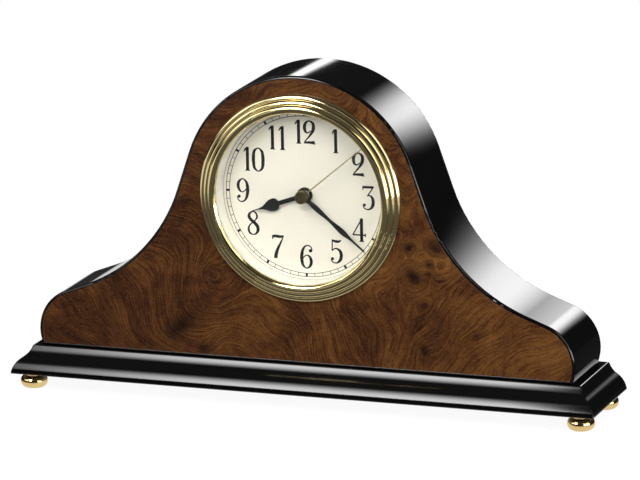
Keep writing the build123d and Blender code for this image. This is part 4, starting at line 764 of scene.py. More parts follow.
@dataclass(frozen=True)
class FacePlate:
    """A plane parallel to the dial that flat marks are printed or raised on.

    Attributes:
        origin: its centre in the frame, in metres.
        outward: -1 where it faces the front, 1 where it faces the back.
        sink: how far a mark goes into the plane, in metres.
        rise: how far a mark stands out of the plane, in metres.
    """

    origin: Vector
    outward: int
    sink: float
    rise: float

    def mesh(self, outlines: Iterable[Sequence[Point]]) -> bpy.types.Mesh:
        """Make closed flat solids from outlines.

        Args:
            outlines: convex loops, or four-sided strips, as points in millimetres to the right and up.

        Returns:
            One mesh that holds them all.
        """
        build = bmesh.new()
        for outline in outlines:
            base = [build.verts.new(self._put(point, -self.sink)) for point in outline]
            build.faces.new(base)
        bmesh.ops.remove_doubles(build, verts=build.verts, dist=1e-7)
        grown = bmesh.ops.extrude_face_region(build, geom=list(build.faces), use_keep_orig=True)
        risen = [item for item in grown["geom"] if isinstance(item, bmesh.types.BMVert)]
        shift = Vector((0, self.outward * (self.sink + self.rise), 0))
        bmesh.ops.translate(build, verts=risen, vec=shift)
        bmesh.ops.recalc_face_normals(build, faces=build.faces)
        mesh = bpy.data.meshes.new("marks")
        build.to_mesh(mesh)
        build.free()
        return mesh

    def _put(self, point: Point, out: float) -> Vector:
        """Frame place of a point on the plane, a distance out of it."""
        shift = Vector((point[0] * MM, self.outward * out, point[1] * MM))
        return self.origin + shift


@dataclass(frozen=True)
class Stroke:
    """A pen stroke of changing width.

    Attributes:
        points: places and widths in hundredths of the figure's height.
        looped: whether the end joins the start.
    """

    points: tuple[tuple[float, float, float], ...]
    looped: bool = False

    def strips(self, steps: int = 7) -> list[list[tuple[float, float]]]:
        """Four-sided strips that cover the stroke.

        Args:
            steps: strips between two points.

        Returns:
            The strips, each as four points.
        """
        line = self._smooth(steps)
        count = len(line)
        edges = []
        for index, (x, y, width) in enumerate(line):
            before = line[index - 1] if index or self.looped else line[0]
            after = line[(index + 1) % count] if index < count - 1 or self.looped else line[-1]
            run = Vector((after[0] - before[0], after[1] - before[1])).normalized()
            side = Vector((-run.y, run.x)) * width / 2
            edges.append(((x + side.x, y + side.y), (x - side.x, y - side.y)))
        last = count if self.looped else count - 1
        strips = []
        for index in range(last):
            left, right = edges[index]
            next_left, next_right = edges[(index + 1) % count]
            strips.append([left, right, next_right, next_left])
        return strips

    def _smooth(self, steps: int) -> list[tuple[float, float, float]]:
        """Points along a smooth line through the stroke's own points."""
        points = self.points
        count = len(points)
        if count == 2:
            return list(points)
        spans = count if self.looped else count - 1
        line = []
        for span in range(spans):
            if self.looped:
                knots = [points[(span + shift) % count] for shift in (-1, 0, 1, 2)]
            else:
                knots = [points[min(max(span + shift, 0), count - 1)] for shift in (-1, 0, 1, 2)]
            for step in range(steps):
                line.append(self._between(knots, step / steps))
        if not self.looped:
            line.append(points[-1])
        return line

    @staticmethod
    def _between(knots: Sequence[tuple[float, float, float]], share: float) -> tuple[float, float, float]:
        """Point on the smooth span between the middle two of four knots."""
        before, start, end, after = (Vector(knot) for knot in knots)
        bend = 2 * start + (end - before) * share
        bend += (2 * before - 5 * start + 4 * end - after) * share ** 2
        bend += (3 * start - before - 3 * end + after) * share ** 3
        return tuple(bend / 2)


@dataclass(frozen=True)
class Figure:
    """One figure of the dial's numbers.

    Attributes:
        width: its width in hundredths of its height.
        strokes: its pen strokes.
        balls: its round ends, as centre and radius.
    """

    width: float
    strokes: tuple[Stroke, ...]
    balls: tuple[tuple[float, float, float], ...] = ()

    def set_out(self, spread: float, weight: float) -> "Figure":
        """The figure drawn wider and with a broader pen.

        Args:
            spread: how much wider it becomes.
            weight: how much each line grows, in hundredths of the height.

        Returns:
            The new figure.
        """
        strokes = tuple(
            Stroke(tuple((x * spread, y, width + weight) for x, y, width in stroke.points), stroke.looped)
            for stroke in self.strokes
        )
        balls = tuple((x * spread, y, radius + weight / 2) for x, y, radius in self.balls)
        return Figure(self.width * spread, strokes, balls)

    def outlines(self, corner: Point, height: float, sides: int = 20) -> list[list[Point]]:
        """Outlines of the figure in place.

        Args:
            corner: its lower left corner in millimetres.
            height: its height in millimetres.
            sides: corners of a round end.

        Returns:
            The outlines in millimetres.
        """
        unit = height / 100
        loops = [strip for stroke in self.strokes for strip in stroke.strips()]
        for x, y, radius in self.balls:
            turns = [FULL_TURN * side / sides for side in range(sides)]
            loops.append([(x + radius * math.cos(turn), y + radius * math.sin(turn)) for turn in turns])
        return [[(corner[0] + x * unit, corner[1] + y * unit) for x, y in loop] for loop in loops]


def half_turned(figure: Figure) -> Figure:
    """The figure turned upside down in its own box."""
    strokes = tuple(
        Stroke(tuple((figure.width - x, 100 - y, width) for x, y, width in stroke.points), stroke.looped)
        for stroke in figure.strokes
    )
    balls = tuple((figure.width - x, 100 - y, radius) for x, y, radius in figure.balls)
    return Figure(figure.width, strokes, balls)


SIX = Figure(
    50,
    (
        Stroke(((47.4, 77, 2.6), (46.6, 87, 2.8), (40, 95.6, 3.0), (31, 98.4, 3.2), (20, 93.4, 5),
                (11, 79, 9), (6.3, 56, 12), (6.3, 36, 12), (11, 14, 8.5), (25, 1.6, 3.0), (39, 11, 8),
                (44.5, 29, 11), (40, 48, 8.5), (29, 57, 3.0), (17, 51, 2.7), (9, 39, 2.6))),
    ),
    ((42.0, 76.5, 6.2),),
)
FIGURES = {
    "0": Figure(
        50,
        (Stroke(((25, 98.4, 3.0), (10, 86, 9), (6, 62, 12), (6, 38, 12), (10, 14, 9), (25, 1.6, 3.0),
                 (40, 14, 9), (44, 38, 12), (44, 62, 12), (40, 86, 9)), True),),
    ),
    "1": Figure(
        26,
        (
            Stroke(((14.5, 98, 11.5), (14.5, 3, 11.5))),
            Stroke(((20.2, 99.6, 1.2), (12, 96.4, 6.4), (5, 89, 4.4), (0.6, 80.5, 2.2))),
            Stroke(((14.5, 8, 11.5), (14.5, 4.2, 14.5), (14.5, 2.2, 20), (14.5, 0.2, 22))),
        ),
    ),
    "2": Figure(
        48,
        (
            Stroke(((30, 57, 2.4), (23, 50, 3.0), (14.5, 48.6, 5.5), (7.4, 57, 10), (5.6, 74, 12),
                    (11.5, 90, 8), (24.5, 98.2, 3.6), (38.5, 89.5, 9.5), (42, 73, 12.5), (37.5, 55, 11),
                    (26, 36, 6), (12, 18.5, 3.4), (5, 9, 2.8), (3.6, 3.3, 2.6))),
            Stroke(((3.6, 4, 2.8), (13, 7.4, 7), (25, 7.8, 8.5), (36, 7.9, 10.5), (44, 8.2, 13.4),
                    (46.4, 8.8, 13.8))),
        ),
    ),
    "3": Figure(
        50,
        (
            Stroke(((4, 95, 8.5), (25, 95.4, 8.0), (46, 96, 7.6))),
            Stroke(((4.4, 99.2, 2.8), (3.4, 83, 2.4))),
            Stroke(((46.5, 98, 3.2), (22, 59, 3.2))),
            Stroke(((20.5, 58, 2.8), (30, 60.8, 3.6), (39, 54.5, 8.5), (44, 40, 11.6), (42.6, 20, 11.6),
                    (34, 6.5, 7), (22, 1.7, 3.2), (9, 6, 2.9), (3.6, 17, 2.8))),
        ),
        ((8.8, 20, 5.6),),
    ),
    "4": Figure(
        52,
        (
            Stroke(((36, 98.5, 11.5), (36, 3, 11.5))),
            Stroke(((38, 99.5, 3.2), (1.4, 29.5, 3.2))),
            Stroke(((0, 28.6, 3.6), (51.5, 28.6, 3.6))),
            Stroke(((51, 36, 2.6), (50.4, 29, 4.2), (51, 21.5, 2.6))),
            Stroke(((36, 7, 11.5), (36, 4.0, 14.5), (36, 2.2, 20), (36, 0.2, 22))),
        ),
    ),
    "5": Figure(
        50,
        (
            Stroke(((8.4, 99.4, 2.6), (15, 95, 7.5), (27, 92.5, 9.5), (37, 94, 7), (44.5, 99.2, 2.2))),
            Stroke(((9.0, 99, 3.0), (7.4, 53, 3.0))),
            Stroke(((7.4, 52.5, 2.8), (17, 61.5, 3.4), (29, 61.5, 6), (40, 52, 10.5), (44, 36, 12),
                    (41, 18, 11), (31, 5, 6), (20, 1.7, 3.0), (8.5, 6, 2.9), (3.4, 16, 2.8))),
        ),
        ((8.6, 19, 5.6),),
    ),
    "6": SIX,
    "7": Figure(
        50,
        (
            Stroke(((3.6, 99, 2.6), (2.6, 81, 3.2))),
            Stroke(((3.0, 88, 5), (11, 94, 9.5), (23, 93, 10.5), (36, 92.5, 9), (46.5, 97, 3))),
            Stroke(((47, 98.6, 2.6), (42.5, 84, 3.4), (34, 64, 6.0), (25.5, 46, 9), (18, 25, 12),
                    (14.5, 8, 13.2), (14, 0.4, 13.6))),
        ),
    ),
    "8": Figure(
        50,
        (
            Stroke(((25, 98.4, 3.0), (13, 91.5, 7), (8.6, 78, 11), (16, 64, 11.5), (30, 52, 12), (42, 37, 12),
                    (44, 21, 11), (37, 6.5, 6), (25, 1.6, 3.0), (12, 7, 6.5), (6.2, 22, 7.5), (10, 38, 4.6),
                    (21, 50.5, 3.2), (34, 63, 3.2), (41.4, 77, 6.2), (37, 92, 5.2)), True),
        ),
    ),
    "9": half_turned(SIX),
}


@dataclass
class TickRing:
    """Equal marks round a circle, laid out by geometry nodes.

    Attributes:
        name: the piece's name.
        count: how many marks.
        radius: distance of their middles from the centre, in metres.
        length: their size outwards, in metres.
        width: their size along the circle, in metres.
        depth: their thickness, in metres.
        centre: the circle's centre in the frame.
    """

    name: str
    count: int
    radius: float
    length: float
    width: float
    depth: float
    centre: Vector

    def mesh(self, material: bpy.types.Material) -> bpy.types.Mesh:
        """Make the marks as one plain mesh.

        Args:
            material: the finish that the tree sets.

        Returns:
            The realised mesh in its place in the frame.
        """
        tree = bpy.data.node_groups.new(f"{self.name}_layout", "GeometryNodeTree")
        tree.is_modifier = True
        desk = Desk(tree)
        sockets = self._sockets(tree)
        given = desk.add("NodeGroupInput")
        put_out = desk.add("NodeGroupOutput")
        circle = desk.add("GeometryNodeMeshCircle")
        desk.feed(circle.inputs["Vertices"], given.outputs["Count"])
        desk.feed(circle.inputs["Radius"], given.outputs["Radius"])
        size = desk.add("ShaderNodeCombineXYZ")
        for axis, name in zip("XYZ", ("Length", "Width", "Depth")):
            desk.feed(size.inputs[axis], given.outputs[name])
        mark = desk.add("GeometryNodeMeshCube")
        desk.feed(mark.inputs["Size"], size.outputs["Vector"])
        step = desk.math("DIVIDE", FULL_TURN, given.outputs["Count"])
        order = desk.add("GeometryNodeInputIndex")
        turn = desk.add("ShaderNodeCombineXYZ")
        desk.feed(turn.inputs["Z"], desk.math("MULTIPLY", order.outputs["Index"], step))
        spread = desk.add("GeometryNodeInstanceOnPoints")
        desk.feed(spread.inputs["Points"], circle.outputs["Mesh"])
        desk.feed(spread.inputs["Instance"], mark.outputs["Mesh"])
        desk.feed(spread.inputs["Rotation"], turn.outputs["Vector"])
        stand = desk.add("GeometryNodeTransform")
        desk.feed(stand.inputs["Geometry"], spread.outputs["Instances"])
        desk.feed(stand.inputs["Translation"], given.outputs["Centre"])
        stand.inputs["Rotation"].default_value = (math.pi / 2, 0.0, 0.0)
        real = desk.add("GeometryNodeRealizeInstances")
        desk.feed(real.inputs["Geometry"], stand.outputs["Geometry"])
        dressed = desk.add("GeometryNodeSetMaterial")
        desk.feed(dressed.inputs["Geometry"], real.outputs["Geometry"])
        desk.feed(dressed.inputs["Material"], given.outputs["Finish"])
        desk.feed(put_out.inputs["Geometry"], dressed.outputs["Geometry"])
        return self._realise(tree, sockets, material)

    def _sockets(self, tree: bpy.types.NodeTree) -> dict[str, str]:
        """Add the tree's named inputs and its output.

        Args:
            tree: the tree to give them to.

        Returns:
            The inputs' identifiers by name.
        """
        kinds = {"Count": "NodeSocketInt", "Radius": "NodeSocketFloat", "Length": "NodeSocketFloat",
                 "Width": "NodeSocketFloat", "Depth": "NodeSocketFloat", "Centre": "NodeSocketVector",
                 "Finish": "NodeSocketMaterial"}
        found = {}
        for name, kind in kinds.items():
            found[name] = tree.interface.new_socket(name=name, in_out="INPUT", socket_type=kind).identifier
        tree.interface.new_socket(name="Geometry", in_out="OUTPUT", socket_type="NodeSocketGeometry")
        return found

    def _realise(self, tree: bpy.types.NodeTree, sockets: dict[str, str],
                 material: bpy.types.Material) -> bpy.types.Mesh:
        """Run the tree on a passing object and keep only its mesh.

        Args:
            tree: the finished tree.
            sockets: its inputs' identifiers.
            material: the finish to set.

        Returns:
            The plain mesh.
        """
        carrier = bpy.data.objects.new(f"{self.name}_carrier", bpy.data.meshes.new(f"{self.name}_empty"))
        bpy.context.scene.collection.objects.link(carrier)
        layout = carrier.modifiers.new("layout", "NODES")
        layout.node_group = tree
        values = {"Count": self.count, "Radius": self.radius, "Length": self.length, "Width": self.width,
                  "Depth": self.depth, "Centre": tuple(self.centre), "Finish": material}
        for name, value in values.items():
            layout[sockets[name]] = value
        seen = bpy.context.evaluated_depsgraph_get()
        mesh = bpy.data.meshes.new_from_object(carrier.evaluated_get(seen))
        bpy.data.objects.remove(carrier)
        return mesh


@dataclass
class SubAssembly:
    """Pieces that are finished together; its kinds build and dress their own."""

    made: dict[str, bpy.types.Material] = field(default_factory=dict)

    def lay(self, finish: Finish, *nodes: str) -> None:
        """Make a finish and set it on CAD nodes.

        Args:
            finish: the finish to make.
            *nodes: names of the nodes that take it.
        """
        material = finish.make()
        self.made[finish.name] = material
        for node in nodes:
            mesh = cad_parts[node].data
            mesh.materials.clear()
            mesh.materials.append(material)
        LOG.info("finish %s on %s", finish.name, ", ".join(nodes) or "new pieces")


@dataclass
class Case(SubAssembly):
    """The wooden case, its plinth, feet and plinth screws."""

    def dress(self) -> None:
        """Lacquer, veneer, brass and steel."""
        self.lay(CaseLacquer("black_lacquer_gloss"), "case_body")
        self.lay(BlackLacquer("plinth_lacquer_gloss", edge=0.8), "plinth")
        self.lay(BurlVeneer("walnut_burl"), "front_veneer")
        self.lay(TurnedMetal("foot_brass", MetalTone.FOOT, 0.07, 0.10, 0.4, 0.0), "feet")
        self.lay(TurnedMetal("wood_screw_steel", MetalTone.STEEL, 0.24, 0.18), "plinth_screws")


HOUR_PLACES = (
    (15.0, 25.9), (25.8, 15.8), (30.4, 0.45), (25.7, -14.7), (14.6, -25.6), (0.0, -29.0),
    (-13.6, -25.1), (-25.6, -14.8), (-30.2, 0.3), (-24.45, 15.1), (-13.1, 25.85), (0.5, 29.3),
)


@dataclass
class DialInsert(SubAssembly):
    """The bezel, glass, printed dial and hands; sizes of the print in millimetres.

    Attributes:
        figure_height: height of the numbers.
        figure_gap: space between two figures of a number.
        twin_gap: that space in the number of two equal strokes.
        figure_spread: how much wider the figures are drawn.
        figure_weight: how much broader their lines are, in hundredths of the height.
        track_inner: radius of the minute track's inner circle.
        track_outer: radius of its outer circle.
        track_line: breadth of its circles.
        rim_radius: radius of the grey line outside the track, a painted shadow where the dial meets the
            ring's wall.
        tick_width: breadth of a minute tick.
        block_width: breadth of an hour block.
        ink: thickness of the ink.
        soak: how far it goes into the card.
    """

    figure_height: float = 11.1
    figure_gap: float = 0.85
    twin_gap: float = 1.7
    figure_spread: float = 1.08
    figure_weight: float = 2.0
    track_inner: float = 36.75
    track_outer: float = 38.35
    track_line: float = 0.25
    rim_radius: float = 39.75
    tick_width: float = 0.24
    block_width: float = 1.05
    ink: float = 0.03
    soak: float = 0.005

    def dress(self) -> None:
        """Brass, glass, cream card, paint and ink, with grey paint for a painted shadow line at the dial's
        rim and a painted dark reflection on the seconds cap.
        """
        bezel_brass = TurnedMetal("bezel_brass", MetalTone.BRASS, 0.05, 0.10, 0.3, 0.004)
        self.lay(bezel_brass, "bezel", "centre_bushing")
        self.lay(ClearGlass("clear_glass_sheet"), "lens")
        self.lay(CreamDial("cream_card"), "dial")
        self.lay(MouldedPlastic("cream_ring", PlasticTone.CREAM, 0.4, 0.05), "dial_ring")
        rubber = MouldedPlastic("black_rubber", PlasticTone.RUBBER, 0.7, 0.4)
        self.lay(rubber, "lens_gasket", "bore_grip_ring")
        self.lay(BlackPaint("hand_paint"), "hour_hand", "minute_hand")
        self.lay(BlackPaint("dial_ink", 0.005, 0.5))
        # Grey paint for the painted shadow line where the dial meets the ring's wall.
        self.lay(BlackPaint("rim_painted_shadow", 0.30, 0.5))
        self.lay(TurnedMetal("gilt_strip", MetalTone.GILT, 0.22, 0.15), "seconds_hand", "seconds_hub")
        # The seconds cap is polished brass; its dark colour is a painted reflection of the dark room.
        self.lay(TurnedMetal("cap_brass_dark_reflection", MetalTone.BRONZE, 0.20, 0.2, 0.25, 0.03), "seconds_cap")
        self.lay(TurnedMetal("nut_steel", MetalTone.STEEL, 0.2, 0.1), "hand_nut")
        self.lay(MouldedPlastic("cup_moulding", PlasticTone.BLACK, 0.45, 0.35), "insert_cup")

    def build(self) -> None:
        """Make the numbers, the track's circles, its ticks and its blocks, and the grey line at the dial's
        rim that is a painted shadow.
        """
        ink = self.made["dial_ink"]
        low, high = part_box("dial")
        centre = Vector(((low.x + high.x) / 2, low.y, (low.z + high.z) / 2))
        plate = FacePlate(centre, -1, self.soak * MM, self.ink * MM)
        outlines = [loop for hour in range(1, 13) for loop in self._number(hour)]
        new_piece("dial_numbers", plate.mesh(outlines), ink, CASE_BODY)
        circles = self._circle(self.track_inner) + self._circle(self.track_outer)
        new_piece("minute_track", plate.mesh(circles), ink, CASE_BODY)
        # A grey line at the dial's rim: a painted shadow where the dial meets the ring's wall, not print.
        rim = plate.mesh(self._circle(self.rim_radius))
        new_piece("dial_rim_painted_shadow", rim, self.made["rim_painted_shadow"], CASE_BODY)
        middle = (self.track_inner + self.track_outer) / 2
        band = self.track_outer - self.track_inner
        face = centre - Vector((0, self.ink * MM / 2, 0))
        marks = (("minute_ticks", 60, self.tick_width), ("hour_blocks", 12, self.block_width))
        for name, count, width in marks:
            ring = TickRing(name, count, middle * MM, band * MM, width * MM, self.ink * MM, face)
            new_piece(name, ring.mesh(ink), ink, CASE_BODY)

    def _number(self, hour: int) -> list[list[Point]]:
        """Outlines of one hour's number, upright at its place round the dial."""
        text = str(hour)
        figures = [FIGURES[mark].set_out(self.figure_spread, self.figure_weight) for mark in text]
        gap = self.twin_gap if len(set(text)) < len(text) else self.figure_gap
        widths = [figure.width * self.figure_height / 100 for figure in figures]
        across, up = HOUR_PLACES[hour - 1]
        left = across - (sum(widths) + gap * (len(figures) - 1)) / 2
        bottom = up - self.figure_height / 2
        outlines = []
        for figure, width in zip(figures, widths):
            outlines += figure.outlines((left, bottom), self.figure_height)
            left += width + gap
        return outlines

    def _circle(self, radius: float, sides: int = 180) -> list[list[Point]]:
        """A thin printed circle as a ring of four-sided strips."""
        inner, outer = radius - self.track_line / 2, radius + self.track_line / 2
        turns = [FULL_TURN * side / sides for side in range(sides + 1)]
        rays = [(math.cos(turn), math.sin(turn)) for turn in turns]
        return [
            [(inner * a[0], inner * a[1]), (outer * a[0], outer * a[1]), (outer * b[0], outer * b[1]),
             (inner * b[0], inner * b[1])]
            for a, b in zip(rays, rays[1:])
        ]


@dataclass
class Movement(SubAssembly):
    """The clock movement and its cell; sizes of the marks on its back in millimetres.

    Attributes:
        rise: how far the marks stand up.
        root: how far they reach into the moulding.
        line: breadth of their lines.
        cross: length of the plus and minus signs.
        pole_across: how far the signs are from the middle.
        pole_up: how far they are above the hand axis.
        arrow_radius: radius of the arrow round the setting knob.
        arrow_start: angle at which the arrow starts, in degrees.
        arrow_end: angle at which its head starts, in degrees.
        arrow_head: size of its head.
    """

    rise: float = 0.25
    root: float = 0.02
    line: float = 0.8
    cross: float = 4.0
    pole_across: float = 16.5
    pole_up: float = -7.2
    arrow_radius: float = 8.6
    arrow_start: float = 40.0
    arrow_end: float = 320.0
    arrow_head: float = 2.2

    def dress(self) -> None:
        """Plastics, steel, brass, magnet, wire, board and cell."""
        self.lay(MouldedPlastic("black_moulding", PlasticTone.BLACK, 0.45, 0.35), "movement_front_case",
                 "movement_rear_case", "set_shaft", "chip_cap")
        self.lay(MouldedPlastic("knob_moulding", PlasticTone.BLACK, 0.33, 0.2), "set_knob")
        self.lay(MouldedPlastic("white_moulding", PlasticTone.WHITE, 0.4, 0.1), "mid_plate", "coil_bobbin",
                 "rotor_pinion", "intermediate_wheel", "seconds_wheel", "third_wheel", "centre_wheel",
                 "minute_wheel", "hour_wheel")
        self.lay(TurnedMetal("fastener_steel", MetalTone.STEEL, 0.24, 0.18), "mount_screws",
                 "movement_screws", "plate_screws", "stator", "coil_core", "quartz_crystal",
                 "positive_contact", "negative_contact", "seconds_arbor")
        self.lay(TurnedMetal("pipe_brass", MetalTone.BRASS, 0.2, 0.15), "minute_pipe")
        self.lay(TurnedMetal("sintered_magnet", MetalTone.MAGNET, 0.42, 0.2), "rotor_magnet")
        self.lay(WoundWire("coil_wire"), "coil_winding")
        self.lay(MouldedPlastic("board_resist", PlasticTone.BOARD, 0.32, 0.2), "circuit_board")
        self.lay(CellSleeve("cell_sleeve"), "battery")

    def build(self) -> None:
        """Make the signs of the cell's ends and the arrow round the setting knob."""
        plastic = self.made["knob_moulding"]
        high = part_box("movement_rear_case")[1]
        centre = Vector((0.0, high.y, hand_axis()[2] * MM))
        plate = FacePlate(centre, 1, self.root * MM, self.rise * MM)
        half = self.cross / 2
        plus = [self._bar(self.pole_across, self.pole_up, half, self.line / 2),
                self._bar(self.pole_across, self.pole_up, self.line / 2, half)]
        minus = [self._bar(-self.pole_across, self.pole_up, half, self.line / 2)]
        new_piece("cell_plus_sign", plate.mesh(plus), plastic, CASE_BODY)
        new_piece("cell_minus_sign", plate.mesh(minus), plastic, CASE_BODY)
        knob_low, knob_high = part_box("set_knob")
        knob = (knob_low + knob_high) / 2 - centre
        arrow = self._arrow((knob.x / MM, knob.z / MM))
        new_piece("setting_arrow", plate.mesh(arrow), plastic, CASE_BODY)

    def _bar(self, across: float, up: float, half_width: float, half_height: float) -> list[Point]:
        """Upright rectangle about a point."""
        return [(across - half_width, up - half_height), (across + half_width, up - half_height),
                (across + half_width, up + half_height), (across - half_width, up + half_height)]

    def _arrow(self, centre: Point, steps: int = 40) -> list[list[Point]]:
        """Curved arrow round a point, with a head at its end."""
        span = self.arrow_end - self.arrow_start
        turns = [math.radians(self.arrow_start + span * step / steps) for step in range(steps + 1)]
        inner, outer = self.arrow_radius - self.line / 2, self.arrow_radius + self.line / 2

        def ray(radius: float, turn: float) -> Point:
            """Point at a radius and angle from the centre."""
            return (centre[0] + radius * math.cos(turn), centre[1] + radius * math.sin(turn))

        pairs = zip(turns, turns[1:])
        loops = [[ray(inner, a), ray(outer, a), ray(outer, b), ray(inner, b)] for a, b in pairs]
        tip = turns[-1] + self.arrow_head * 1.6 / self.arrow_radius
        head = [ray(self.arrow_radius - self.arrow_head / 1.4, turns[-1]), ray(self.arrow_radius, tip),
                ray(self.arrow_radius + self.arrow_head / 1.4, turns[-1])]
        return loops + [head]


@dataclass
class SoftBox:
    """A flat studio lamp whose face may fade towards its edges.

    Attributes:
        name: the lamp's name.
        place: the middle of its face, in metres.
        aim: the point that it faces, in metres.
        width: its size sideways, in metres.
        depth: its size the other way, in metres.
        radiance: how bright its face is.
        fade: shares of the face over which it fades at its left, right, lower and upper edge.
        mirrored: whether glossy surfaces show it.
    """

    name: str
    place: tuple[float, float, float]
    aim: tuple[float, float, float]
    width: float
    depth: float
    radiance: float
    fade: tuple[float, float, float, float] = (0.0, 0.0, 0.0, 0.0)
    mirrored: bool = True

    def build(self) -> bpy.types.Object:
        """Put the lamp up.

        Returns:
            The lamp.
        """
        data = bpy.data.lights.new(self.name, "AREA")
        data.shape = "RECTANGLE"
        data.size = self.width
        data.size_y = self.depth
        data.energy = self.radiance * math.pi * self.width * self.depth
        self._shade(data)
        lamp = bpy.data.objects.new(self.name, data)
        bpy.context.scene.collection.objects.link(lamp)
        out = Vector(self.place) - Vector(self.aim)
        turn = out.to_track_quat("Z", "Y")
        lamp.matrix_world = Matrix.Translation(self.place) @ turn.to_matrix().to_4x4()
        lamp.visible_camera = False
        lamp.visible_glossy = self.mirrored
        LOG.info("lamp %s", self.name)
        return lamp

    def _shade(self, data: bpy.types.Light) -> None:
        """Fade the lamp's face towards its edges."""
        data.use_nodes = True
        tree = data.node_tree
        tree.nodes.clear()
        desk = Desk(tree)
        glow = desk.add("ShaderNodeEmission")
        output = desk.add("ShaderNodeOutputLight")
        tree.links.new(glow.outputs[0], output.inputs[0])
        face = desk.add("ShaderNodeNewGeometry")
        sideways, upwards, _ = desk.split(face.outputs["Parametric"])
        left, right, low, high = self.fade
        strength: object = 1.0
        for run, start, end in ((sideways, left, right), (upwards, low, high)):
            for share, near, far in ((start, 0.0, start), (end, 1.0, 1.0 - end)):
                if share > 0.0:
                    edge = desk.span(run, near, far, way="SMOOTHSTEP")
                    strength = desk.math("MULTIPLY", strength, edge)
        desk.feed(glow.inputs["Strength"], strength)


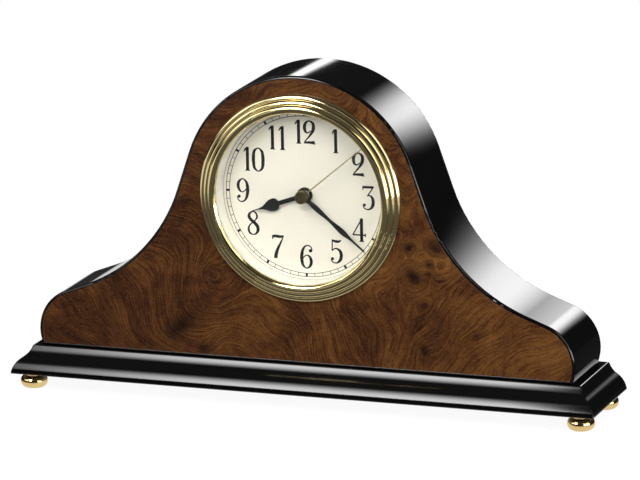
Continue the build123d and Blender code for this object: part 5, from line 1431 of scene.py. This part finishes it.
@dataclass
class Studio:
    """Floor, backdrop light, lamps and camera.

    Attributes:
        floor_reach: half the floor's side, in metres.
        paper: how pale the floor is to the camera.
        bounce: how pale it is to the light that it sends back.
        white_near: how much of the floor's white doesn't depend on the lamps, close to the clock.
        white_far: how much of it doesn't, away from the clock.
        floor_mirror: how much of that white glossy surfaces show behind the clock.
        front_mirror: how much of it they show in front of the clock.
        side_mirror: how much of it they show in front and far to the sides.
        foot_mirror: how much of it they show just beside the clock and on the sweep.
        beside: distances from the clock at which foot_mirror starts to fade and is gone, in millimetres.
        sweep: middle of the lit sweep of paper behind the clock, in millimetres.
        sweep_reach: distances from its middle at which it starts to fade and is gone, in millimetres.
        shadow_reach: distances from the clock between which white_near turns to white_far, in millimetres.
        side_start: distances sideways between which front_mirror turns to side_mirror, in millimetres.
        front_start: places along Y between which floor_mirror turns to front_mirror, in millimetres.
        sky_mirror: how much of the white backdrop glossy surfaces show.
        sky_low: light of the room at the horizon.
        sky_high: light of the room overhead.
        lens_mm: the camera's focal length.
        shift: how far its picture is shifted.
        eye: where it stands, in metres.
        right: direction to the right of its picture.
        up: direction to the top of its picture.
        ahead: direction that it looks in.
        lamps: the studio's lamps.
    """

    floor_reach: float = 12.0
    paper: float = 0.90
    bounce: float = 0.01
    white_near: float = 0.94
    white_far: float = 1.0
    floor_mirror: float = 0.012
    front_mirror: float = 0.08
    side_mirror: float = 0.85
    foot_mirror: float = 0.9
    beside: Point = (10.0, 26.0)
    sweep: tuple[float, float, float] = (-200.0, 360.0, 0.0)
    sweep_reach: Point = (140.0, 260.0)
    shadow_reach: Point = (60.0, 400.0)
    side_start: Point = (280.0, 460.0)
    front_start: Point = (20.0, -60.0)
    sky_mirror: float = 0.01
    sky_low: float = 0.01
    sky_high: float = 0.08
    lens_mm: float = 315.917
    shift: tuple[float, float] = (-0.00428, -0.0311)
    eye: tuple[float, float, float] = (0.85512, -2.34089, 0.69701)
    right: tuple[float, float, float] = (0.9412971, 0.33706901, -0.01855399)
    up: tuple[float, float, float] = (-0.0635947, 0.23103554, 0.97086472)
    ahead: tuple[float, float, float] = (-0.33153504, 0.91269221, -0.23890888)
    lamps: tuple[SoftBox, ...] = (
        SoftBox("front_bank", (-0.375, -0.710, 0.680), (-0.375, -0.030, 0.050), 0.45, 0.76, 17.0,
                (0.50, 0.12, 0.0, 0.85)),
        SoftBox("left_bank", (-0.86, -0.54, 0.60), (-0.02, 0.0, 0.10), 0.84, 0.76, 2.0,
                (0.25, 0.12, 0.2, 0.25)),
        SoftBox("right_low", (0.82, -0.34, 0.17), (0.02, 0.0, 0.10), 0.84, 0.34, 7.0,
                (0.15, 0.15, 0.0, 0.3)),
        SoftBox("right_high", (0.76, -0.34, 0.66), (0.02, 0.0, 0.10), 0.84, 0.68, 1.7,
                (0.15, 0.15, 0.0, 0.2)),
        SoftBox("right_key", (0.95, -0.34, 0.60), (0.0, 0.0, 0.08), 0.80, 0.80, 4.6, mirrored=False),
        SoftBox("top_fill", (0.30, -1.10, 1.35), (0.0, 0.0, 0.08), 1.60, 1.20, 3.5, mirrored=False),
        SoftBox("back_fill", (-0.30, 1.10, 0.80), (0.0, 0.0, 0.08), 1.40, 1.00, 7.0, mirrored=False),
        SoftBox("back_card", (0.144, 0.425, 0.240), (0.085, 0.02, 0.10), 0.20, 0.26, 6.4,
                (0.45, 0.45, 0.45, 0.45)),
        SoftBox("back_strip", (-0.095, 0.25, 0.212), (-0.005, 0.02, 0.157), 0.18, 0.034, 5.0,
                (0.3, 0.3, 0.5, 0.5)),
    )

    def build(self) -> None:
        """Put up the whole studio."""
        self._floor()
        self._world()
        for lamp in self.lamps:
            lamp.build()
        self._camera()

    def _seen(self, desk: Desk, mirror: object) -> Socket:
        """Share of the white background that a ray sees.

        Args:
            desk: the desk of the tree that asks.
            mirror: the share that glossy surfaces show, as a number or a socket.

        Returns:
            The share: all for the camera and through glass, some for glossy surfaces, none for bounced light.
        """
        path = desk.add("ShaderNodeLightPath")
        direct = desk.math("LESS_THAN", path.outputs["Diffuse Depth"], 0.5)
        clear = desk.math("ADD", path.outputs["Is Camera Ray"], path.outputs["Is Transmission Ray"])
        total = desk.math("MULTIPLY_ADD", path.outputs["Is Glossy Ray"], mirror, clear)
        return desk.math("MULTIPLY", desk.math("MINIMUM", total, 1.0), direct)

    def _floor(self) -> None:
        """Lay a pale floor that fades to white and keeps a soft shadow."""
        reach = self.floor_reach
        mesh = bpy.data.meshes.new("floor")
        corners = [(-reach, -reach, 0), (reach, -reach, 0), (reach, reach, 0), (-reach, reach, 0)]
        mesh.from_pydata(corners, [], [(0, 1, 2, 3)])
        material = bpy.data.materials.new("pale_floor")
        material.use_nodes = True
        tree = material.node_tree
        tree.nodes.clear()
        desk = Desk(tree)
        paper = desk.add("ShaderNodeBsdfDiffuse")
        fibre = desk.noise(desk.place(), 60.0, 3.0).outputs["Fac"]
        pale = desk.ramp(fibre, [(0.3, grey(self.paper)), (0.7, grey(self.paper + 0.02))])
        camera = desk.add("ShaderNodeLightPath").outputs["Is Camera Ray"]
        desk.feed(paper.inputs["Color"], desk.mix(camera, grey(self.bounce), pale))
        glow = desk.add("ShaderNodeEmission")
        fade = desk.add("ShaderNodeMixShader")
        away = self._away(desk)
        beside = desk.span(away, *self.beside, self.foot_mirror, 0.0)
        behind = desk.vector("LENGTH", desk.place(self.sweep))
        lit = desk.math("MAXIMUM", beside, desk.span(behind, *self.sweep_reach, self.foot_mirror, 0.0))
        mirror = desk.math("MAXIMUM", lit, self._open_floor(desk))
        white = desk.span(away, *self.shadow_reach, self.white_near, self.white_far)
        desk.feed(fade.inputs[0], desk.math("MULTIPLY", self._seen(desk, mirror), white))
        tree.links.new(paper.outputs[0], fade.inputs[1])
        tree.links.new(glow.outputs[0], fade.inputs[2])
        output = desk.add("ShaderNodeOutputMaterial")
        tree.links.new(fade.outputs[0], output.inputs["Surface"])
        mesh.materials.append(material)
        floor = bpy.data.objects.new("floor", mesh)
        bpy.context.scene.collection.objects.link(floor)
        floor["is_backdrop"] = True
        LOG.info("floor laid")

    def _open_floor(self, desk: Desk) -> Socket:
        """Share of the open floor's white that glossy surfaces show.

        Args:
            desk: the desk of the floor's tree.

        Returns:
            The share: little behind the clock, more in front and most at the front's far sides.
        """
        across, along, _ = desk.split(desk.place())
        aside = desk.math("ABSOLUTE", across)
        front = desk.span(aside, *self.side_start, self.front_mirror, self.side_mirror)
        return desk.mix_value(desk.span(along, *self.front_start), self.floor_mirror, front)

    def _away(self, desk: Desk) -> Socket:
        """Distance on the floor from the clock's own footprint, in millimetres."""
        low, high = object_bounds()
        middle, half = (low + high) / 2 / MM, (high - low) / 2 / MM
        place = desk.vector("ABSOLUTE", desk.place((middle.x, middle.y, 0.0)))
        beyond = desk.vector("SUBTRACT", place, (half.x, half.y, 0.0))
        return desk.vector("LENGTH", desk.vector("MAXIMUM", beyond, (0.0, 0.0, 0.0)))

    def _world(self) -> None:
        """Light the room softly from above, white where the camera looks."""
        world = bpy.data.worlds.new("studio")
        bpy.context.scene.world = world
        world.use_nodes = True
        tree = world.node_tree
        tree.nodes.clear()
        desk = Desk(tree)
        coordinates = desk.add("ShaderNodeTexCoord")
        height = desk.span(desk.split(coordinates.outputs["Generated"])[2], 0.3, 0.9)
        dome = desk.ramp(height, [(0.0, grey(self.sky_low)), (1.0, grey(self.sky_high))])
        room = desk.add("ShaderNodeBackground")
        desk.feed(room.inputs["Color"], dome)
        white = desk.add("ShaderNodeBackground")
        fade = desk.add("ShaderNodeMixShader")
        desk.feed(fade.inputs[0], self._seen(desk, self.sky_mirror))
        tree.links.new(room.outputs[0], fade.inputs[1])
        tree.links.new(white.outputs[0], fade.inputs[2])
        output = desk.add("ShaderNodeOutputWorld")
        tree.links.new(fade.outputs[0], output.inputs["Surface"])

    def _camera(self) -> None:
        """Stand the camera where the picture was taken from."""
        data = bpy.data.cameras.new("camera")
        data.sensor_fit = "HORIZONTAL"
        data.sensor_width = 36.0
        data.lens = self.lens_mm
        data.shift_x, data.shift_y = self.shift
        data.clip_start, data.clip_end = 0.05, 60.0
        camera = bpy.data.objects.new("camera", data)
        bpy.context.scene.collection.objects.link(camera)
        back = tuple(-value for value in self.ahead)
        turn = Matrix((self.right, self.up, back)).transposed().to_4x4()
        camera.matrix_world = Matrix.Translation(self.eye) @ turn
        bpy.context.scene.camera = camera


def main() -> None:
    """Dress the clock and light it."""
    logging.basicConfig(level=logging.INFO, format="%(name)s: %(message)s")
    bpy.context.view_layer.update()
    bpy.context.scene.view_settings.view_transform = "Standard"
    Case().dress()
    for group in (DialInsert(), Movement()):
        group.dress()
        group.build()
    Studio().build()


if __name__ == "__main__":
    main()
